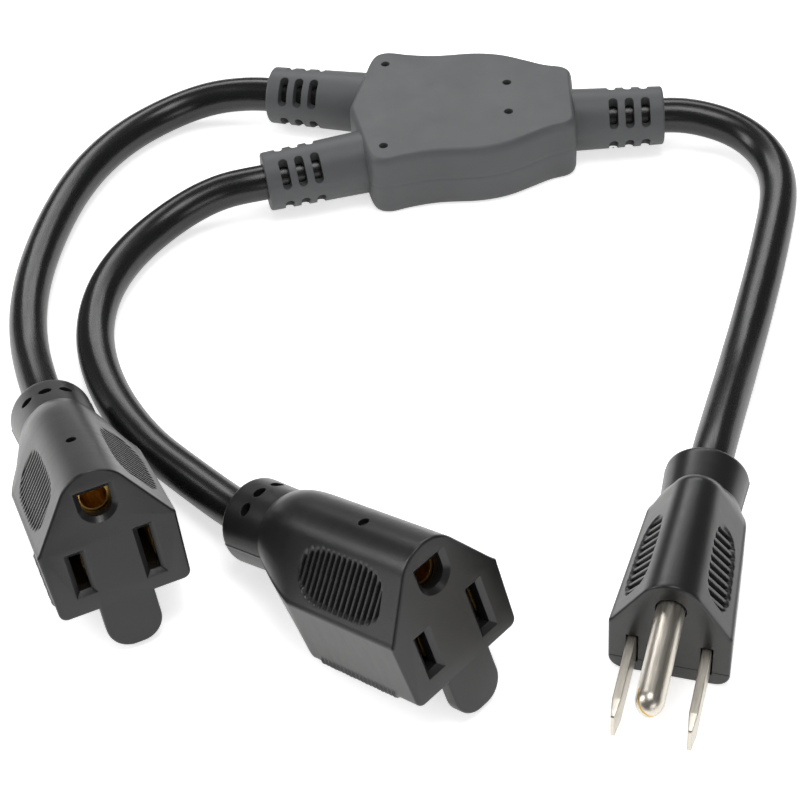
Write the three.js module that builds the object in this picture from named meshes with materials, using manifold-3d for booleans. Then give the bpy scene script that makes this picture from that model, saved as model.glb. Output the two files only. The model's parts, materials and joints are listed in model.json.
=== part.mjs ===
// A power cord splitter: one grounded plug feeds two grounded outlets through a moulded Y block.
// Millimetres, +Z up. The origin is the centre of the Y block's underside and +X points along
// the block towards the plug's cord.
import * as THREE from "three";
import { mergeVertices } from "three/addons/utils/BufferGeometryUtils.js";
import Module from "manifold-3d";

const wasm = await Module();
wasm.setup();

// Clearances
const gap = 0.3;
const seatGap = 0.3;

// Cord and its three insulated cores
const cordDiameter = 7.9;
const cordSides = 10;
const cordStraight = 4;
const cordStepShare = 1.6;
const coreDiameter = 2.3;
const coreSides = 6;
const coreSpread = 1.6;
const coreBoreClearance = 0.5;
const coreBore = coreSpread + coreDiameter / 2 + coreBoreClearance;

// Blade and pin sizes of the grounded pattern
const bladeOffset = 6.35;
const groundOffset = 11.9;
const bladeThickness = 1.52;
const bladeHeight = 6.35;
const bladeReach = 16.6;
const bladeBevel = 1.1;
const pinDiameter = 4.8;
const pinReach = 21.4;
const pinDome = 3.2;

// Y block
const blockHeight = 15;
const blockApex = 25.4;
const blockEnd = 25.9;
const blockFacet = 18.2;
const blockLobe = 21.3;
const blockWaist = 19.2;
const blockTail = 11.3;
const blockEdge = 2.6;
const blockDraft = 0.35;
const lobeRounding = { x: 1.3, y: 0.9 };
const lobePeak = 3.9;
const waistStart = -6;
const waistEnd = 4.5;
const tailShoulder = { x: 10.4, share: 0.93 };
const tailMiddle = 15.6;
const tailFlare = { x: 20.6, y: 1.2 };
const tailCut = { x: 1.4, y: 1.5 };
const legSpread = 14;
const legOffset = 11.7;
const legLength = 22.2;
const tailLength = 19.9;
const reliefRoot = 14;
const reliefTip = 13.1;
const reliefRings = 3;
const reliefPerRing = 4;
const reliefPitch = 3.6;
const reliefFirst = 4.2;
const reliefWindow = 2;
const reliefWindowArc = 64;
const reliefWindowFloor = 4.9;
const ventDiameter = 2;
const ventDepth = 1.4;
const ventLeft = { x: -17, y: 15.7 };
const ventRight = { x: 10.9, y: 5.6 };

// Splices inside the Y block
const spliceDiameter = 5.6;
const spliceLength = 11;
const splicePitch = 7;
const spliceLift = 1.35;
const trayLength = 13;
const trayPlate = 1;
const trayRibHeight = 3.2;
const trayClearance = 0.2;
const roomSideClearance = 2.7;
const roomApexInset = 6.6;
const roomTailInset = 10.4;
const coreFanOut = 2.1;
const coreLean = 1.3;
const coreBend = 4.4;
const coreLeadIn = 2.6;

// Outlet connector, in its own frame: x right, y up, z out of the face
const outletLength = 51;
const outletStraight = 28;
const outletNeckStart = 40;
const outletNeckRadius = 8.1;
const outletWaistRadius = 7.8;
const outletNeckHeight = 8;
const outletProfile = {
  halfWidth: 12.6, bottom: -7.9, corner: 1.8, shoulder: 5.6, archHalf: 5.5, archBase: 15.7, top: 18.3,
};
const shoulderCut = { below: 0.9, above: 0.8, inward: 0.7 };
const taperInHeight = 0.4;
const faceEdge = 0.5;
const faceEdgeInset = 0.35;
const shellWall = 1.5;
const faceWall = 3;
const roomTail = 3;
const carrierLength = 19;
const tabReach = 17.1;
const tabHalfWidth = 5.1;
const tabThickness = 3;
const fairingLength = 12;
const fairingInset = 1.2;
const tabOverlap = 1.5;
const slotWidth = 2.1;
const hotSlotHeight = 6.9;
const neutralSlotHeight = 8;
const slotChamfer = 0.9;
const groundSlotRadius = 2.7;
const groundSlotTop = 2.3;
const contactLeaf = 0.6;
const contactLength = 13;
const contactHeight = 6;
const contactBase = 1.2;
const grooveCount = 16;
const groovePitch = 1.4;
const grooveWidth = 0.7;
const grooveDepth = 0.75;
const grooveDisc = 9;
const outletGrooveStart = 4.5;
const grooveFade = { front: 5, back: 3 };
const neckHoleCount = 6;
const neckHoleWidth = 1.9;
const neckHoleLength = 2.9;
const neckHoleDepth = 2.4;
const neckHoleInset = 3.4;
const ridgeHolePlace = 21;

// Plug, in its own frame: x right, y up, z out of the face
const plugLength = 38.7;
const plugStraight = 25.5;
const plugNeckStart = 30.5;
const plugNeckRadius = 7.7;
const plugWaistRadius = 7.2;
const plugNeckHeight = 4;
const plugTaper = 0.16;
const plugProfile = {
  halfWidth: 10.5, bottom: -6.2, corner: 2.8, shoulder: 6.4, archHalf: 4.5, archBase: 15.6, top: 17.7,
};
const plugRoomInset = { side: 1, arch: 0.5, archBase: 0.7 };
const bridgeLength = 13;
const bladeRoot = 12.5;
const plugGrooveCount = 8;
const plugGroovePitch = 2.1;
const plugGrooveStart = 4;

// Where the connectors lie on the surface: plan position of the face's middle, and its heading
const leftOutletPlace = { x: -62.2, y: -134.9, heading: -66.6 };
const frontOutletPlace = { x: -3, y: -152.8, heading: -43.5 };
const plugPlace = { x: 32.6, y: -151.4, heading: -105.8 };

// Cord routes between the exits, as points of their centre lines
const plugCordMiddle = [
  [53.5, -0.9, 7.1], [60.6, -3.9, 6.2], [65.9, -9.2, 5.2], [68.7, -16.2, 4.4], [68.9, -24, 4],
  [67.5, -31.6, 4], [65.5, -39.2, 4], [63.4, -46.8, 4], [61.2, -54.3, 4], [58.9, -61.8, 4],
  [56.6, -69.3, 4.1], [54.3, -76.6, 4.6], [52.1, -84, 5.6], [49.9, -91.3, 7.1],
];
const leftCordMiddle = [
  [-51.6, 18.2, 7.2], [-58.6, 19.1, 6.1], [-65.4, 17.9, 4.9], [-71.6, 14.7, 4.2], [-77, 10.2, 4],
  [-81.5, 4.7, 4], [-85.2, -1.6, 4], [-88.2, -8.7, 4], [-90.4, -16.4, 4], [-92, -24.3, 4],
  [-93.1, -32.3, 4], [-93.7, -40.3, 4], [-93.6, -48.3, 4], [-92.8, -56.2, 4], [-91.2, -64, 4],
  [-88.9, -71.5, 4.5],
];
const frontCordMiddle = [
  [-51.4, -17.7, 7.2], [-57.8, -19.8, 6.2], [-63.5, -23.2, 5], [-68.4, -27.8, 4.2], [-72.4, -33.4, 4],
  [-75.4, -39.7, 4], [-77.4, -46.4, 4], [-78.2, -53.6, 4], [-77.9, -60.9, 4], [-76.4, -68.1, 4],
  [-74, -75.1, 4], [-70.8, -81.9, 4], [-66.9, -88.4, 4], [-62.3, -94.6, 4], [-57, -100.4, 4.5],
];

// Materials
const darkVinyl = { color: 0x2a2b2d, roughness: 0.45, metalness: 0 };
const blockVinyl = { color: 0x3a3c3e, roughness: 0.55, metalness: 0 };
const jacketVinyl = { color: 0x17181a, roughness: 0.35, metalness: 0 };
const insertNylon = { color: 0xcfc9b8, roughness: 0.5, metalness: 0 };
const brass = { color: 0xb5903f, roughness: 0.35, metalness: 1 };
const nickel = { color: 0xc9c3b6, roughness: 0.28, metalness: 1 };
const hotInsulation = { color: 0x1b1b1b, roughness: 0.5, metalness: 0 };
const neutralInsulation = { color: 0xe6e4dc, roughness: 0.5, metalness: 0 };
const groundInsulation = { color: 0x2c7a3a, roughness: 0.5, metalness: 0 };

const conductors = [
  { name: "hot", side: -1, finish: hotInsulation },
  { name: "neutral", side: 1, finish: neutralInsulation },
  { name: "ground", side: 0, finish: groundInsulation },
];

// Turns a three.js geometry into a solid that can be cut and joined
function toSolid(geometry) {
  const bare = geometry.clone();
  bare.deleteAttribute("normal");
  bare.deleteAttribute("uv");
  const merged = mergeVertices(bare, 1e-4);
  return new wasm.Manifold(new wasm.Mesh({
    numProp: 3,
    vertProperties: new Float32Array(merged.attributes.position.array),
    triVerts: new Uint32Array(merged.index.array),
  }));
}

// Turns a solid back into a three.js geometry
function toGeometry(solid) {
  const mesh = solid.getMesh();
  const geometry = new THREE.BufferGeometry();
  geometry.setAttribute("position", new THREE.BufferAttribute(new Float32Array(mesh.vertProperties), 3));
  geometry.setIndex(new THREE.BufferAttribute(new Uint32Array(mesh.triVerts), 1));
  return geometry;
}

// Skins rings of equal counts, given from back to front, and closes both ends with a fan
function loft(rings) {
  const count = rings[0].length;
  const points = rings.flat();
  const triangles = [];
  for (let ring = 0; ring < rings.length - 1; ring += 1) {
    for (let i = 0; i < count; i += 1) {
      const a = ring * count + i;
      const b = ring * count + ((i + 1) % count);
      triangles.push(a, b, b + count, a, b + count, a + count);
    }
  }
  const centre = (ring) => ring
    .reduce((sum, point) => sum.add(point), new THREE.Vector3())
    .divideScalar(count);
  const backCentre = points.length;
  points.push(centre(rings[0]), centre(rings[rings.length - 1]));
  const front = (rings.length - 1) * count;
  for (let i = 0; i < count; i += 1) {
    const next = (i + 1) % count;
    triangles.push(backCentre, next, i);
    triangles.push(backCentre + 1, front + i, front + next);
  }
  const geometry = new THREE.BufferGeometry();
  geometry.setAttribute(
    "position",
    new THREE.Float32BufferAttribute(points.flatMap((point) => point.toArray()), 3),
  );
  geometry.setIndex(triangles);
  return geometry;
}

// A ring of a plane outline at height z
function ringAt(outline, z) {
  return outline.map((point) => new THREE.Vector3(point.x, point.y, z));
}

// Moves each corner of a closed outline inwards, square to the outline there
function inset(outline, distance) {
  const count = outline.length;
  return outline.map((point, i) => {
    const before = outline[(i + count - 1) % count];
    const after = outline[(i + 1) % count];
    const along = after.clone().sub(before).normalize();
    return new THREE.Vector2(point.x - along.y * distance, point.y + along.x * distance);
  });
}

// Points of an arc in the plane, both ends included
function arcPoints(centre, radius, from, to, steps) {
  const points = [];
  for (let i = 0; i <= steps; i += 1) {
    const angle = THREE.MathUtils.degToRad(from + ((to - from) * i) / steps);
    points.push(new THREE.Vector2(
      centre.x + radius * Math.cos(angle),
      centre.y + radius * Math.sin(angle),
    ));
  }
  return points;
}

// Points between two ends of a straight edge, both ends left out
function between(start, end, steps) {
  const points = [];
  for (let i = 1; i < steps; i += 1) {
    points.push(start.clone().lerp(end, i / steps));
  }
  return points;
}

// Right half points and their mirror image make one closed outline, anticlockwise from the bottom
function mirrored(right) {
  const left = right
    .slice(1, -1)
    .reverse()
    .map((point) => new THREE.Vector2(-point.x, point.y));
  return [...right, ...left];
}

// The outline of a connector's section: flat bottom, upright sides, slanted flanks and an arched top
function connectorOutline(profile) {
  const { halfWidth, bottom, corner, shoulder, archHalf, archBase, top } = profile;
  const bottomMiddle = new THREE.Vector2(0, bottom);
  const cornerCentre = new THREE.Vector2(halfWidth - corner, bottom + corner);
  const cornerArc = arcPoints(cornerCentre, corner, -90, 0, 4);
  const sideTop = new THREE.Vector2(halfWidth, shoulder - shoulderCut.below);
  const flankStart = new THREE.Vector2(halfWidth - shoulderCut.inward, shoulder + shoulderCut.above);
  const flankEnd = new THREE.Vector2(archHalf, archBase);
  const rise = top - archBase;
  const archRadius = (archHalf * archHalf + rise * rise) / (2 * rise);
  const archCentre = new THREE.Vector2(0, top - archRadius);
  const archAngle = THREE.MathUtils.radToDeg(Math.asin(archHalf / archRadius));
  return mirrored([
    bottomMiddle,
    ...between(bottomMiddle, cornerArc[0], 2),
    ...cornerArc,
    ...between(cornerArc[4], sideTop, 2),
    sideTop,
    flankStart,
    ...between(flankStart, flankEnd, 3),
    ...arcPoints(archCentre, archRadius, 90 - archAngle, 90, 4),
  ]);
}

// A point of an outline drawn towards a circle, along the same direction from the middle
function towardsCircle(point, middle, circle, share) {
  const angle = Math.atan2(point.y - middle, point.x);
  const target = new THREE.Vector2(
    circle.radius * Math.cos(angle),
    circle.height + circle.radius * Math.sin(angle),
  );
  return point.clone().lerp(target, share);
}

// The outer form of a connector: the profile runs back from the face and closes into a round neck
function connectorForm(size) {
  const {
    profile, straight, neckStart, length, neckRadius, waistRadius, neckHeight, taper, ridgeHold,
  } = size;
  const outline = connectorOutline(profile);
  const middle = (profile.bottom + profile.top) / 2;
  const narrowed = (z) => outline.map((point) => {
    const share = 1 - taper * (-z / straight);
    const heightShare = 1 - taperInHeight * (1 - share);
    return new THREE.Vector2(point.x * share, neckHeight + (point.y - neckHeight) * heightShare);
  });
  const blended = (z, share, radius) => ringAt(
    narrowed(Math.max(z, -straight)).map((point) => {
      const upward = THREE.MathUtils.smoothstep(point.y, middle, profile.top);
      const held = share ** (1 + ridgeHold * upward);
      return towardsCircle(point, middle, { radius, height: neckHeight }, held);
    }),
    z,
  );
  const rings = [];
  rings.push(blended(-length, 1, neckRadius));
  rings.push(blended(-(length + neckStart) / 2, 1, (neckRadius + waistRadius) / 2));
  rings.push(blended(-neckStart, 1, waistRadius));
  const blendSteps = 6;
  for (let i = blendSteps - 1; i >= 1; i -= 1) {
    const share = i / blendSteps;
    const smooth = share * share * (3 - 2 * share);
    rings.push(blended(-straight - (neckStart - straight) * share, smooth, waistRadius));
  }
  rings.push(blended(-straight, 0, waistRadius));
  rings.push(blended(-straight / 2, 0, waistRadius));
  rings.push(blended(-faceEdge, 0, waistRadius));
  rings.push(ringAt(inset(outline, faceEdgeInset), 0));
  return toSolid(loft(rings));
}

// A block between two corners
function box(low, high) {
  const geometry = new THREE.BoxGeometry(high[0] - low[0], high[1] - low[1], high[2] - low[2]);
  geometry.translate((low[0] + high[0]) / 2, (low[1] + high[1]) / 2, (low[2] + high[2]) / 2);
  return geometry;
}

// A round bar along z between two heights
function roundBar(radius, x, y, zLow, zHigh, sides = 16) {
  const geometry = new THREE.CylinderGeometry(radius, radius, zHigh - zLow, sides);
  geometry.rotateX(Math.PI / 2);
  geometry.translate(x, y, (zLow + zHigh) / 2);
  return geometry;
}

// A plane outline pulled along z
function prism(outline, zLow, zHigh) {
  return loft([ringAt(outline, zLow), ringAt(outline, zHigh)]);
}

// A round bar along a smooth curve through points
function tube(points, diameter, sides, steps) {
  const curve = new THREE.CatmullRomCurve3(points, false, "centripetal");
  const outline = [];
  for (let i = 0; i < sides; i += 1) {
    const angle = (2 * Math.PI * i) / sides;
    outline.push(new THREE.Vector2((diameter / 2) * Math.cos(angle), (diameter / 2) * Math.sin(angle)));
  }
  return new THREE.ExtrudeGeometry(new THREE.Shape(outline), {
    steps,
    extrudePath: curve,
    bevelEnabled: false,
  });
}

// A named mesh with a material of its own
function piece(name, geometry, finish) {
  const mesh = new THREE.Mesh(geometry, new THREE.MeshStandardMaterial(finish));
  mesh.name = name;
  return mesh;
}

// Where each of the three cores lies round the cord's axis, across and up
function coreSeat(conductor) {
  const angle = THREE.MathUtils.degToRad(conductor.side === 0 ? 90 : conductor.side * 60 - 90);
  return new THREE.Vector2(coreSpread * Math.cos(angle), coreSpread * Math.sin(angle));
}

// A strain relief along +x from the root, with rings of windows between its ribs
function reliefForm(length) {
  const rootOverlap = 3;
  const ribbed = new THREE.CylinderGeometry(reliefTip / 2, reliefRoot / 2, length, 24);
  ribbed.rotateZ(-Math.PI / 2);
  ribbed.translate(length / 2, 0, 0);
  const root = new THREE.CylinderGeometry(reliefRoot / 2, reliefRoot / 2, rootOverlap, 24);
  root.rotateZ(-Math.PI / 2);
  root.translate(-rootOverlap / 2, 0, 0);
  let relief = toSolid(ribbed).add(toSolid(root));
  const half = reliefWindowArc / 2;
  for (let ring = 0; ring < reliefRings; ring += 1) {
    const x = length - reliefFirst - ring * reliefPitch;
    for (let i = 0; i < reliefPerRing; i += 1) {
      const middle = (360 / reliefPerRing) * (i + 0.5);
      const outline = [
        ...arcPoints(new THREE.Vector2(), reliefWindowFloor, middle + half, middle - half, 4),
        ...arcPoints(new THREE.Vector2(), reliefRoot, middle - half, middle + half, 2),
      ];
      const window = prism(outline.reverse(), -reliefWindow / 2, reliefWindow / 2);
      window.rotateY(Math.PI / 2);
      window.translate(x, 0, 0);
      relief = relief.subtract(toSolid(window));
    }
  }
  return relief;
}

// Places something that runs along +x at the root of one of the block's three legs
function legMatrix(leg) {
  const turn = new THREE.Matrix4().makeRotationZ(leg.heading);
  const shift = new THREE.Matrix4().makeTranslation(leg.root.x, leg.root.y, blockHeight / 2);
  return shift.multiply(turn);
}

// The room inside the block that holds the splices, as high as the splices on their tray need
const roomHalfHeight = spliceDiameter / 2 + seatGap + trayPlate + trayClearance;
const roomFloor = blockHeight / 2 - roomHalfHeight;
const roomTop = blockHeight / 2 + roomHalfHeight;
const roomLeft = -blockApex + roomApexInset;
const roomRight = blockEnd - roomTailInset;
const roomHalf = splicePitch + spliceDiameter / 2 + roomSideClearance;

// The three legs of the block: root, heading in plan, length, and depth from the root to the room
const spread = THREE.MathUtils.degToRad(legSpread);
const leftReach = blockApex - legOffset * Math.sin(spread) + legLength * Math.cos(spread)
  + (reliefTip / 2) * Math.sin(spread);
const blockShift = (leftReach - (blockEnd + tailLength)) / 2;

function leftLeg(side) {
  return {
    root: new THREE.Vector2(
      blockShift - blockApex + legOffset * Math.sin(spread),
      side * legOffset * Math.cos(spread),
    ),
    heading: Math.PI - side * spread,
    length: legLength,
    lean: side * coreLean,
    entry: (roomLeft + blockApex) / Math.cos(spread) - legOffset * Math.tan(spread),
  };
}

const plugLeg = {
  root: new THREE.Vector2(blockShift + blockEnd, 0),
  heading: 0,
  length: tailLength,
  lean: 0,
  entry: blockEnd - roomRight,
};
const legs = { plug: plugLeg, left: leftLeg(1), front: leftLeg(-1) };

// The centre of a leg's end and the direction in which its cord leaves
function legExit(leg) {
  const matrix = legMatrix(leg);
  return {
    point: new THREE.Vector3(leg.length, 0, 0).applyMatrix4(matrix),
    direction: new THREE.Vector3(1, 0, 0).transformDirection(matrix),
  };
}

// The plan outline of the Y block, anticlockwise
function blockOutline() {
  const apex = new THREE.Vector2(-blockApex, 0);
  const facetEnd = new THREE.Vector2(
    -blockApex + blockFacet * Math.sin(spread),
    blockFacet * Math.cos(spread),
  );
  const side = new THREE.CatmullRomCurve3([
    new THREE.Vector3(facetEnd.x, facetEnd.y, 0),
    new THREE.Vector3(facetEnd.x + lobeRounding.x, blockLobe - lobeRounding.y, 0),
    new THREE.Vector3(facetEnd.x + lobePeak, blockLobe, 0),
    new THREE.Vector3(-blockApex / 2, (blockLobe + blockWaist) / 2, 0),
    new THREE.Vector3(waistStart, blockWaist, 0),
    new THREE.Vector3(waistEnd, blockWaist, 0),
    new THREE.Vector3(tailShoulder.x, blockWaist * tailShoulder.share, 0),
    new THREE.Vector3(tailMiddle, (blockWaist + blockTail) / 2, 0),
    new THREE.Vector3(tailFlare.x, blockTail + tailFlare.y, 0),
    new THREE.Vector3(blockEnd - tailCut.x, blockTail, 0),
  ], false, "centripetal");
  const upper = side.getPoints(22).map((point) => new THREE.Vector2(point.x, point.y));
  const tailCorner = new THREE.Vector2(blockEnd, blockTail - tailCut.y);
  const half = [apex, ...between(apex, facetEnd, 3), ...upper, tailCorner, new THREE.Vector2(blockEnd, 0)];
  const lower = half
    .slice(1, -1)
    .reverse()
    .map((point) => new THREE.Vector2(point.x, -point.y));
  return [...half, ...lower]
    .map((point) => new THREE.Vector2(point.x + blockShift, point.y))
    .reverse();
}

// The block's rounded form: edges rolled over at top and bottom, sides drawn in from the parting line
function blockForm() {
  const outline = blockOutline();
  const rings = [];
  const edgeSteps = 4;
  for (let i = 0; i <= edgeSteps; i += 1) {
    const angle = (Math.PI / 2) * (i / edgeSteps);
    const pull = blockDraft + blockEdge * (1 - Math.sin(angle));
    rings.push(ringAt(inset(outline, pull), blockEdge * (1 - Math.cos(angle))));
  }
  rings.push(ringAt(outline, blockHeight / 2));
  for (let i = edgeSteps; i >= 0; i -= 1) {
    const angle = (Math.PI / 2) * (i / edgeSteps);
    const pull = blockDraft + blockEdge * (1 - Math.sin(angle));
    rings.push(ringAt(inset(outline, pull), blockHeight - blockEdge * (1 - Math.cos(angle))));
  }
  return toSolid(loft(rings));
}

function blockRoom() {
  const room = box([roomLeft, -roomHalf, roomFloor], [roomRight, roomHalf, roomTop]);
  room.translate(blockShift, 0, 0);
  let hollow = toSolid(room);
  for (const leg of Object.values(legs)) {
    const bore = roundBar(coreBore, 0, 0, -leg.entry - 2, leg.length + 1);
    bore.rotateY(Math.PI / 2);
    bore.applyMatrix4(legMatrix(leg));
    hollow = hollow.add(toSolid(bore));
  }
  return hollow;
}

function makeBlock() {
  let body = blockForm();
  for (const leg of Object.values(legs)) {
    const relief = toGeometry(reliefForm(leg.length));
    relief.applyMatrix4(legMatrix(leg));
    body = body.add(toSolid(relief));
  }
  body = body.subtract(blockRoom());
  for (const vent of [ventLeft, ventRight]) {
    for (const side of [-1, 1]) {
      const hole = roundBar(
        ventDiameter / 2,
        blockShift + vent.x,
        side * vent.y,
        blockHeight - ventDepth,
        blockHeight + 1,
        12,
      );
      body = body.subtract(toSolid(hole));
    }
  }
  return piece("y_block", toGeometry(body), blockVinyl);
}

// The three splices lie side by side across the block, the ground in the middle
function spliceAcross(conductor) {
  return conductor.side * splicePitch;
}

function makeSplices() {
  const level = blockHeight / 2;
  const plateTop = level - spliceDiameter / 2 - seatGap;
  const plateLow = plateTop - trayPlate;
  const group = new THREE.Group();
  const trayHalf = roomHalf - gap;
  let tray = toSolid(box([-trayLength / 2, -trayHalf, plateLow], [trayLength / 2, trayHalf, plateTop]));
  const ribThickness = splicePitch - spliceDiameter - 2 * gap;
  for (const place of [-1.5, -0.5, 0.5, 1.5]) {
    const y = place * splicePitch;
    const rib = box(
      [-trayLength / 2, y - ribThickness / 2, plateTop - 0.2],
      [trayLength / 2, y + ribThickness / 2, plateTop + trayRibHeight],
    );
    tray = tray.add(toSolid(rib));
  }
  for (const side of [-1, 1]) {
    const foot = box(
      [-trayLength / 2, side * (trayHalf - 1) - 1, roomFloor + seatGap],
      [trayLength / 2, side * (trayHalf - 1) + 1, plateLow + 0.2],
    );
    tray = tray.add(toSolid(foot));
  }
  const trayMesh = piece("splice_tray", toGeometry(tray), insertNylon);
  trayMesh.position.x = blockShift;
  group.add(trayMesh);
  for (const conductor of conductors) {
    const sleeve = new THREE.CylinderGeometry(spliceDiameter / 2, spliceDiameter / 2, spliceLength, 16);
    sleeve.rotateZ(Math.PI / 2);
    sleeve.translate(blockShift, spliceAcross(conductor), level);
    group.add(piece(`${conductor.name}_splice`, sleeve, brass));
  }
  return group;
}

// The cores that run inside the block from a cord's end to the three splices
function makeBlockCores(cordName, leg, endSide, lift) {
  const group = new THREE.Group();
  const matrix = legMatrix(leg);
  const level = blockHeight / 2;
  const flip = lift < 0 ? -1 : 1;
  for (const conductor of conductors) {
    const seat = coreSeat(conductor);
    const across = endSide * seat.x;
    const inLeg = (along) => new THREE.Vector3(along, across, flip * seat.y).applyMatrix4(matrix);
    const bend = new THREE.Vector3(
      -leg.entry - coreBend,
      across * coreFanOut + leg.lean,
      conductor.side === 0 ? (lift + flip * seat.y) / 2 : lift,
    ).applyMatrix4(matrix);
    const target = spliceAcross(conductor);
    const near = blockShift + endSide * (spliceLength / 2 + seatGap);
    const points = [
      inLeg(leg.length),
      inLeg(leg.length / 2),
      inLeg(2 - leg.entry),
      inLeg(-leg.entry),
      bend,
      new THREE.Vector3(near + endSide * coreLeadIn, target, level + lift),
      new THREE.Vector3(near, target, level + lift),
    ];
    const core = tube(points, coreDiameter, coreSides, 11);
    group.add(piece(`${cordName}_${conductor.name}_block_core`, core, conductor.finish));
  }
  return group;
}

// Grooves for the fingers: discs that bite into both slanted flanks
function cutGrooves(body, profile, count, pitch, start, taperAt) {
  let result = body;
  const flankStart = new THREE.Vector2(profile.halfWidth, profile.shoulder);
  const flankEnd = new THREE.Vector2(profile.archHalf, profile.archBase);
  const along = flankEnd.clone().sub(flankStart).normalize();
  const outward = new THREE.Vector2(along.y, -along.x);
  const middle = flankStart.clone().add(flankEnd).multiplyScalar(0.5);
  for (let i = 0; i < count; i += 1) {
    const z = -start - i * pitch;
    const share = taperAt(z);
    const fromEnd = Math.min((i + 1) / grooveFade.front, (count - i) / grooveFade.back, 1);
    const depth = grooveDepth * Math.sin((Math.PI / 2) * fromEnd);
    const centre = middle.clone();
    centre.x *= share;
    centre.addScaledVector(outward, grooveDisc - depth);
    for (const side of [-1, 1]) {
      const disc = roundBar(
        grooveDisc,
        side * centre.x,
        centre.y,
        z - grooveWidth / 2,
        z + grooveWidth / 2,
        30,
      );
      result = result.subtract(toSolid(disc));
    }
  }
  return result;
}

// A tapered mouth of a slot: an opening that widens towards the face
function slotMouth(x, width, height) {
  const rectangle = (w, h) => [
    new THREE.Vector2(x - w / 2, -h / 2),
    new THREE.Vector2(x + w / 2, -h / 2),
    new THREE.Vector2(x + w / 2, h / 2),
    new THREE.Vector2(x - w / 2, h / 2),
  ];
  const wide = [width + 2 * slotChamfer, height + 2 * slotChamfer];
  const past = 0.5;
  return loft([
    ringAt(rectangle(width, height), -faceWall - past),
    ringAt(rectangle(width, height), -slotChamfer),
    ringAt(rectangle(wide[0], wide[1]), 0),
    ringAt(rectangle(wide[0], wide[1]), past),
  ]);
}

// The ground opening: round towards the slots and flat on top
function groundOutline(grow) {
  const radius = groundSlotRadius + grow;
  const centre = new THREE.Vector2(0, groundOffset);
  const topY = groundOffset + groundSlotTop + grow;
  const round = arcPoints(centre, radius, 180, 360, 10);
  return [...round, new THREE.Vector2(radius, topY), new THREE.Vector2(-radius, topY)];
}

function groundMouth() {
  const past = 0.5;
  return loft([
    ringAt(groundOutline(0), -faceWall - past),
    ringAt(groundOutline(0), -slotChamfer),
    ringAt(groundOutline(slotChamfer), 0),
    ringAt(groundOutline(slotChamfer), past),
  ]);
}

// The room behind a connector's face and the bore through its neck
function connectorRoom(size, roomLength) {
  const outline = inset(connectorOutline(size.profile), shellWall);
  const back = -faceWall - roomLength - roomTail;
  const middle = (size.profile.bottom + size.profile.top) / 2;
  const boreCircle = { radius: coreBore, height: size.neckHeight };
  const round = outline.map((point) => towardsCircle(point, middle, boreCircle, 1));
  const room = loft([
    ringAt(round, -size.length - 1),
    ringAt(round, -size.neckStart - 2),
    ringAt(outline, back),
    ringAt(outline, -faceWall),
  ]);
  return toSolid(room);
}

// The three cores of a connector: each runs from its contact back through the neck
function makeConnectorCores(prefix, size, front, coreStraight) {
  return conductors.map((conductor) => {
    const seat = coreSeat(conductor);
    const x = conductor.side * bladeOffset;
    const y = conductor.side === 0 ? groundOffset : 0;
    const rear = -size.length;
    const bore = (z) => new THREE.Vector3(seat.x, size.neckHeight + seat.y, z);
    const start = new THREE.Vector3(x, y, front);
    const clear = new THREE.Vector3(x, y, front - coreStraight);
    const meet = bore(-size.neckStart - 3);
    const points = [
      start,
      clear,
      clear.clone().lerp(meet, 0.5),
      meet,
      bore(rear),
    ];
    const core = tube(points, coreDiameter, coreSides, 9);
    return piece(`${prefix}_${conductor.name}_core`, core, conductor.finish);
  });
}

const outletSize = {
  profile: outletProfile,
  straight: outletStraight,
  neckStart: outletNeckStart,
  length: outletLength,
  neckRadius: outletNeckRadius,
  waistRadius: outletWaistRadius,
  neckHeight: outletNeckHeight,
  taper: 0,
  ridgeHold: 2.2,
};

const plugSize = {
  profile: plugProfile,
  straight: plugStraight,
  neckStart: plugNeckStart,
  length: plugLength,
  neckRadius: plugNeckRadius,
  waistRadius: plugWaistRadius,
  neckHeight: plugNeckHeight,
  taper: plugTaper,
  ridgeHold: 0,
};

// The thumb tab: a plate that hangs below the face, round at its end, with a fairing behind it
function thumbTab() {
  const top = outletProfile.bottom + tabOverlap;
  const endCentre = new THREE.Vector2(0, -tabReach + tabHalfWidth);
  const plateOutline = [
    new THREE.Vector2(-tabHalfWidth, top),
    ...arcPoints(endCentre, tabHalfWidth, 180, 360, 12),
    new THREE.Vector2(tabHalfWidth, top),
  ];
  const plate = toSolid(prism(plateOutline, -tabThickness, 0));
  const fairingHalf = tabHalfWidth - fairingInset;
  const rings = [];
  const steps = 5;
  for (let i = 0; i <= steps; i += 1) {
    const share = i / steps;
    const z = -tabThickness - (fairingLength - tabThickness) * (1 - share);
    const drop = (tabReach + outletProfile.bottom - tabThickness) * share * share;
    const low = outletProfile.bottom - drop - 0.01;
    rings.push([
      new THREE.Vector3(-fairingHalf, low, z),
      new THREE.Vector3(fairingHalf, low, z),
      new THREE.Vector3(fairingHalf, top, z),
      new THREE.Vector3(-fairingHalf, top, z),
    ]);
  }
  rings.push(rings[steps].map((point) => point.clone().setZ(-tabThickness / 2)));
  return plate.add(toSolid(loft(rings)));
}

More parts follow.
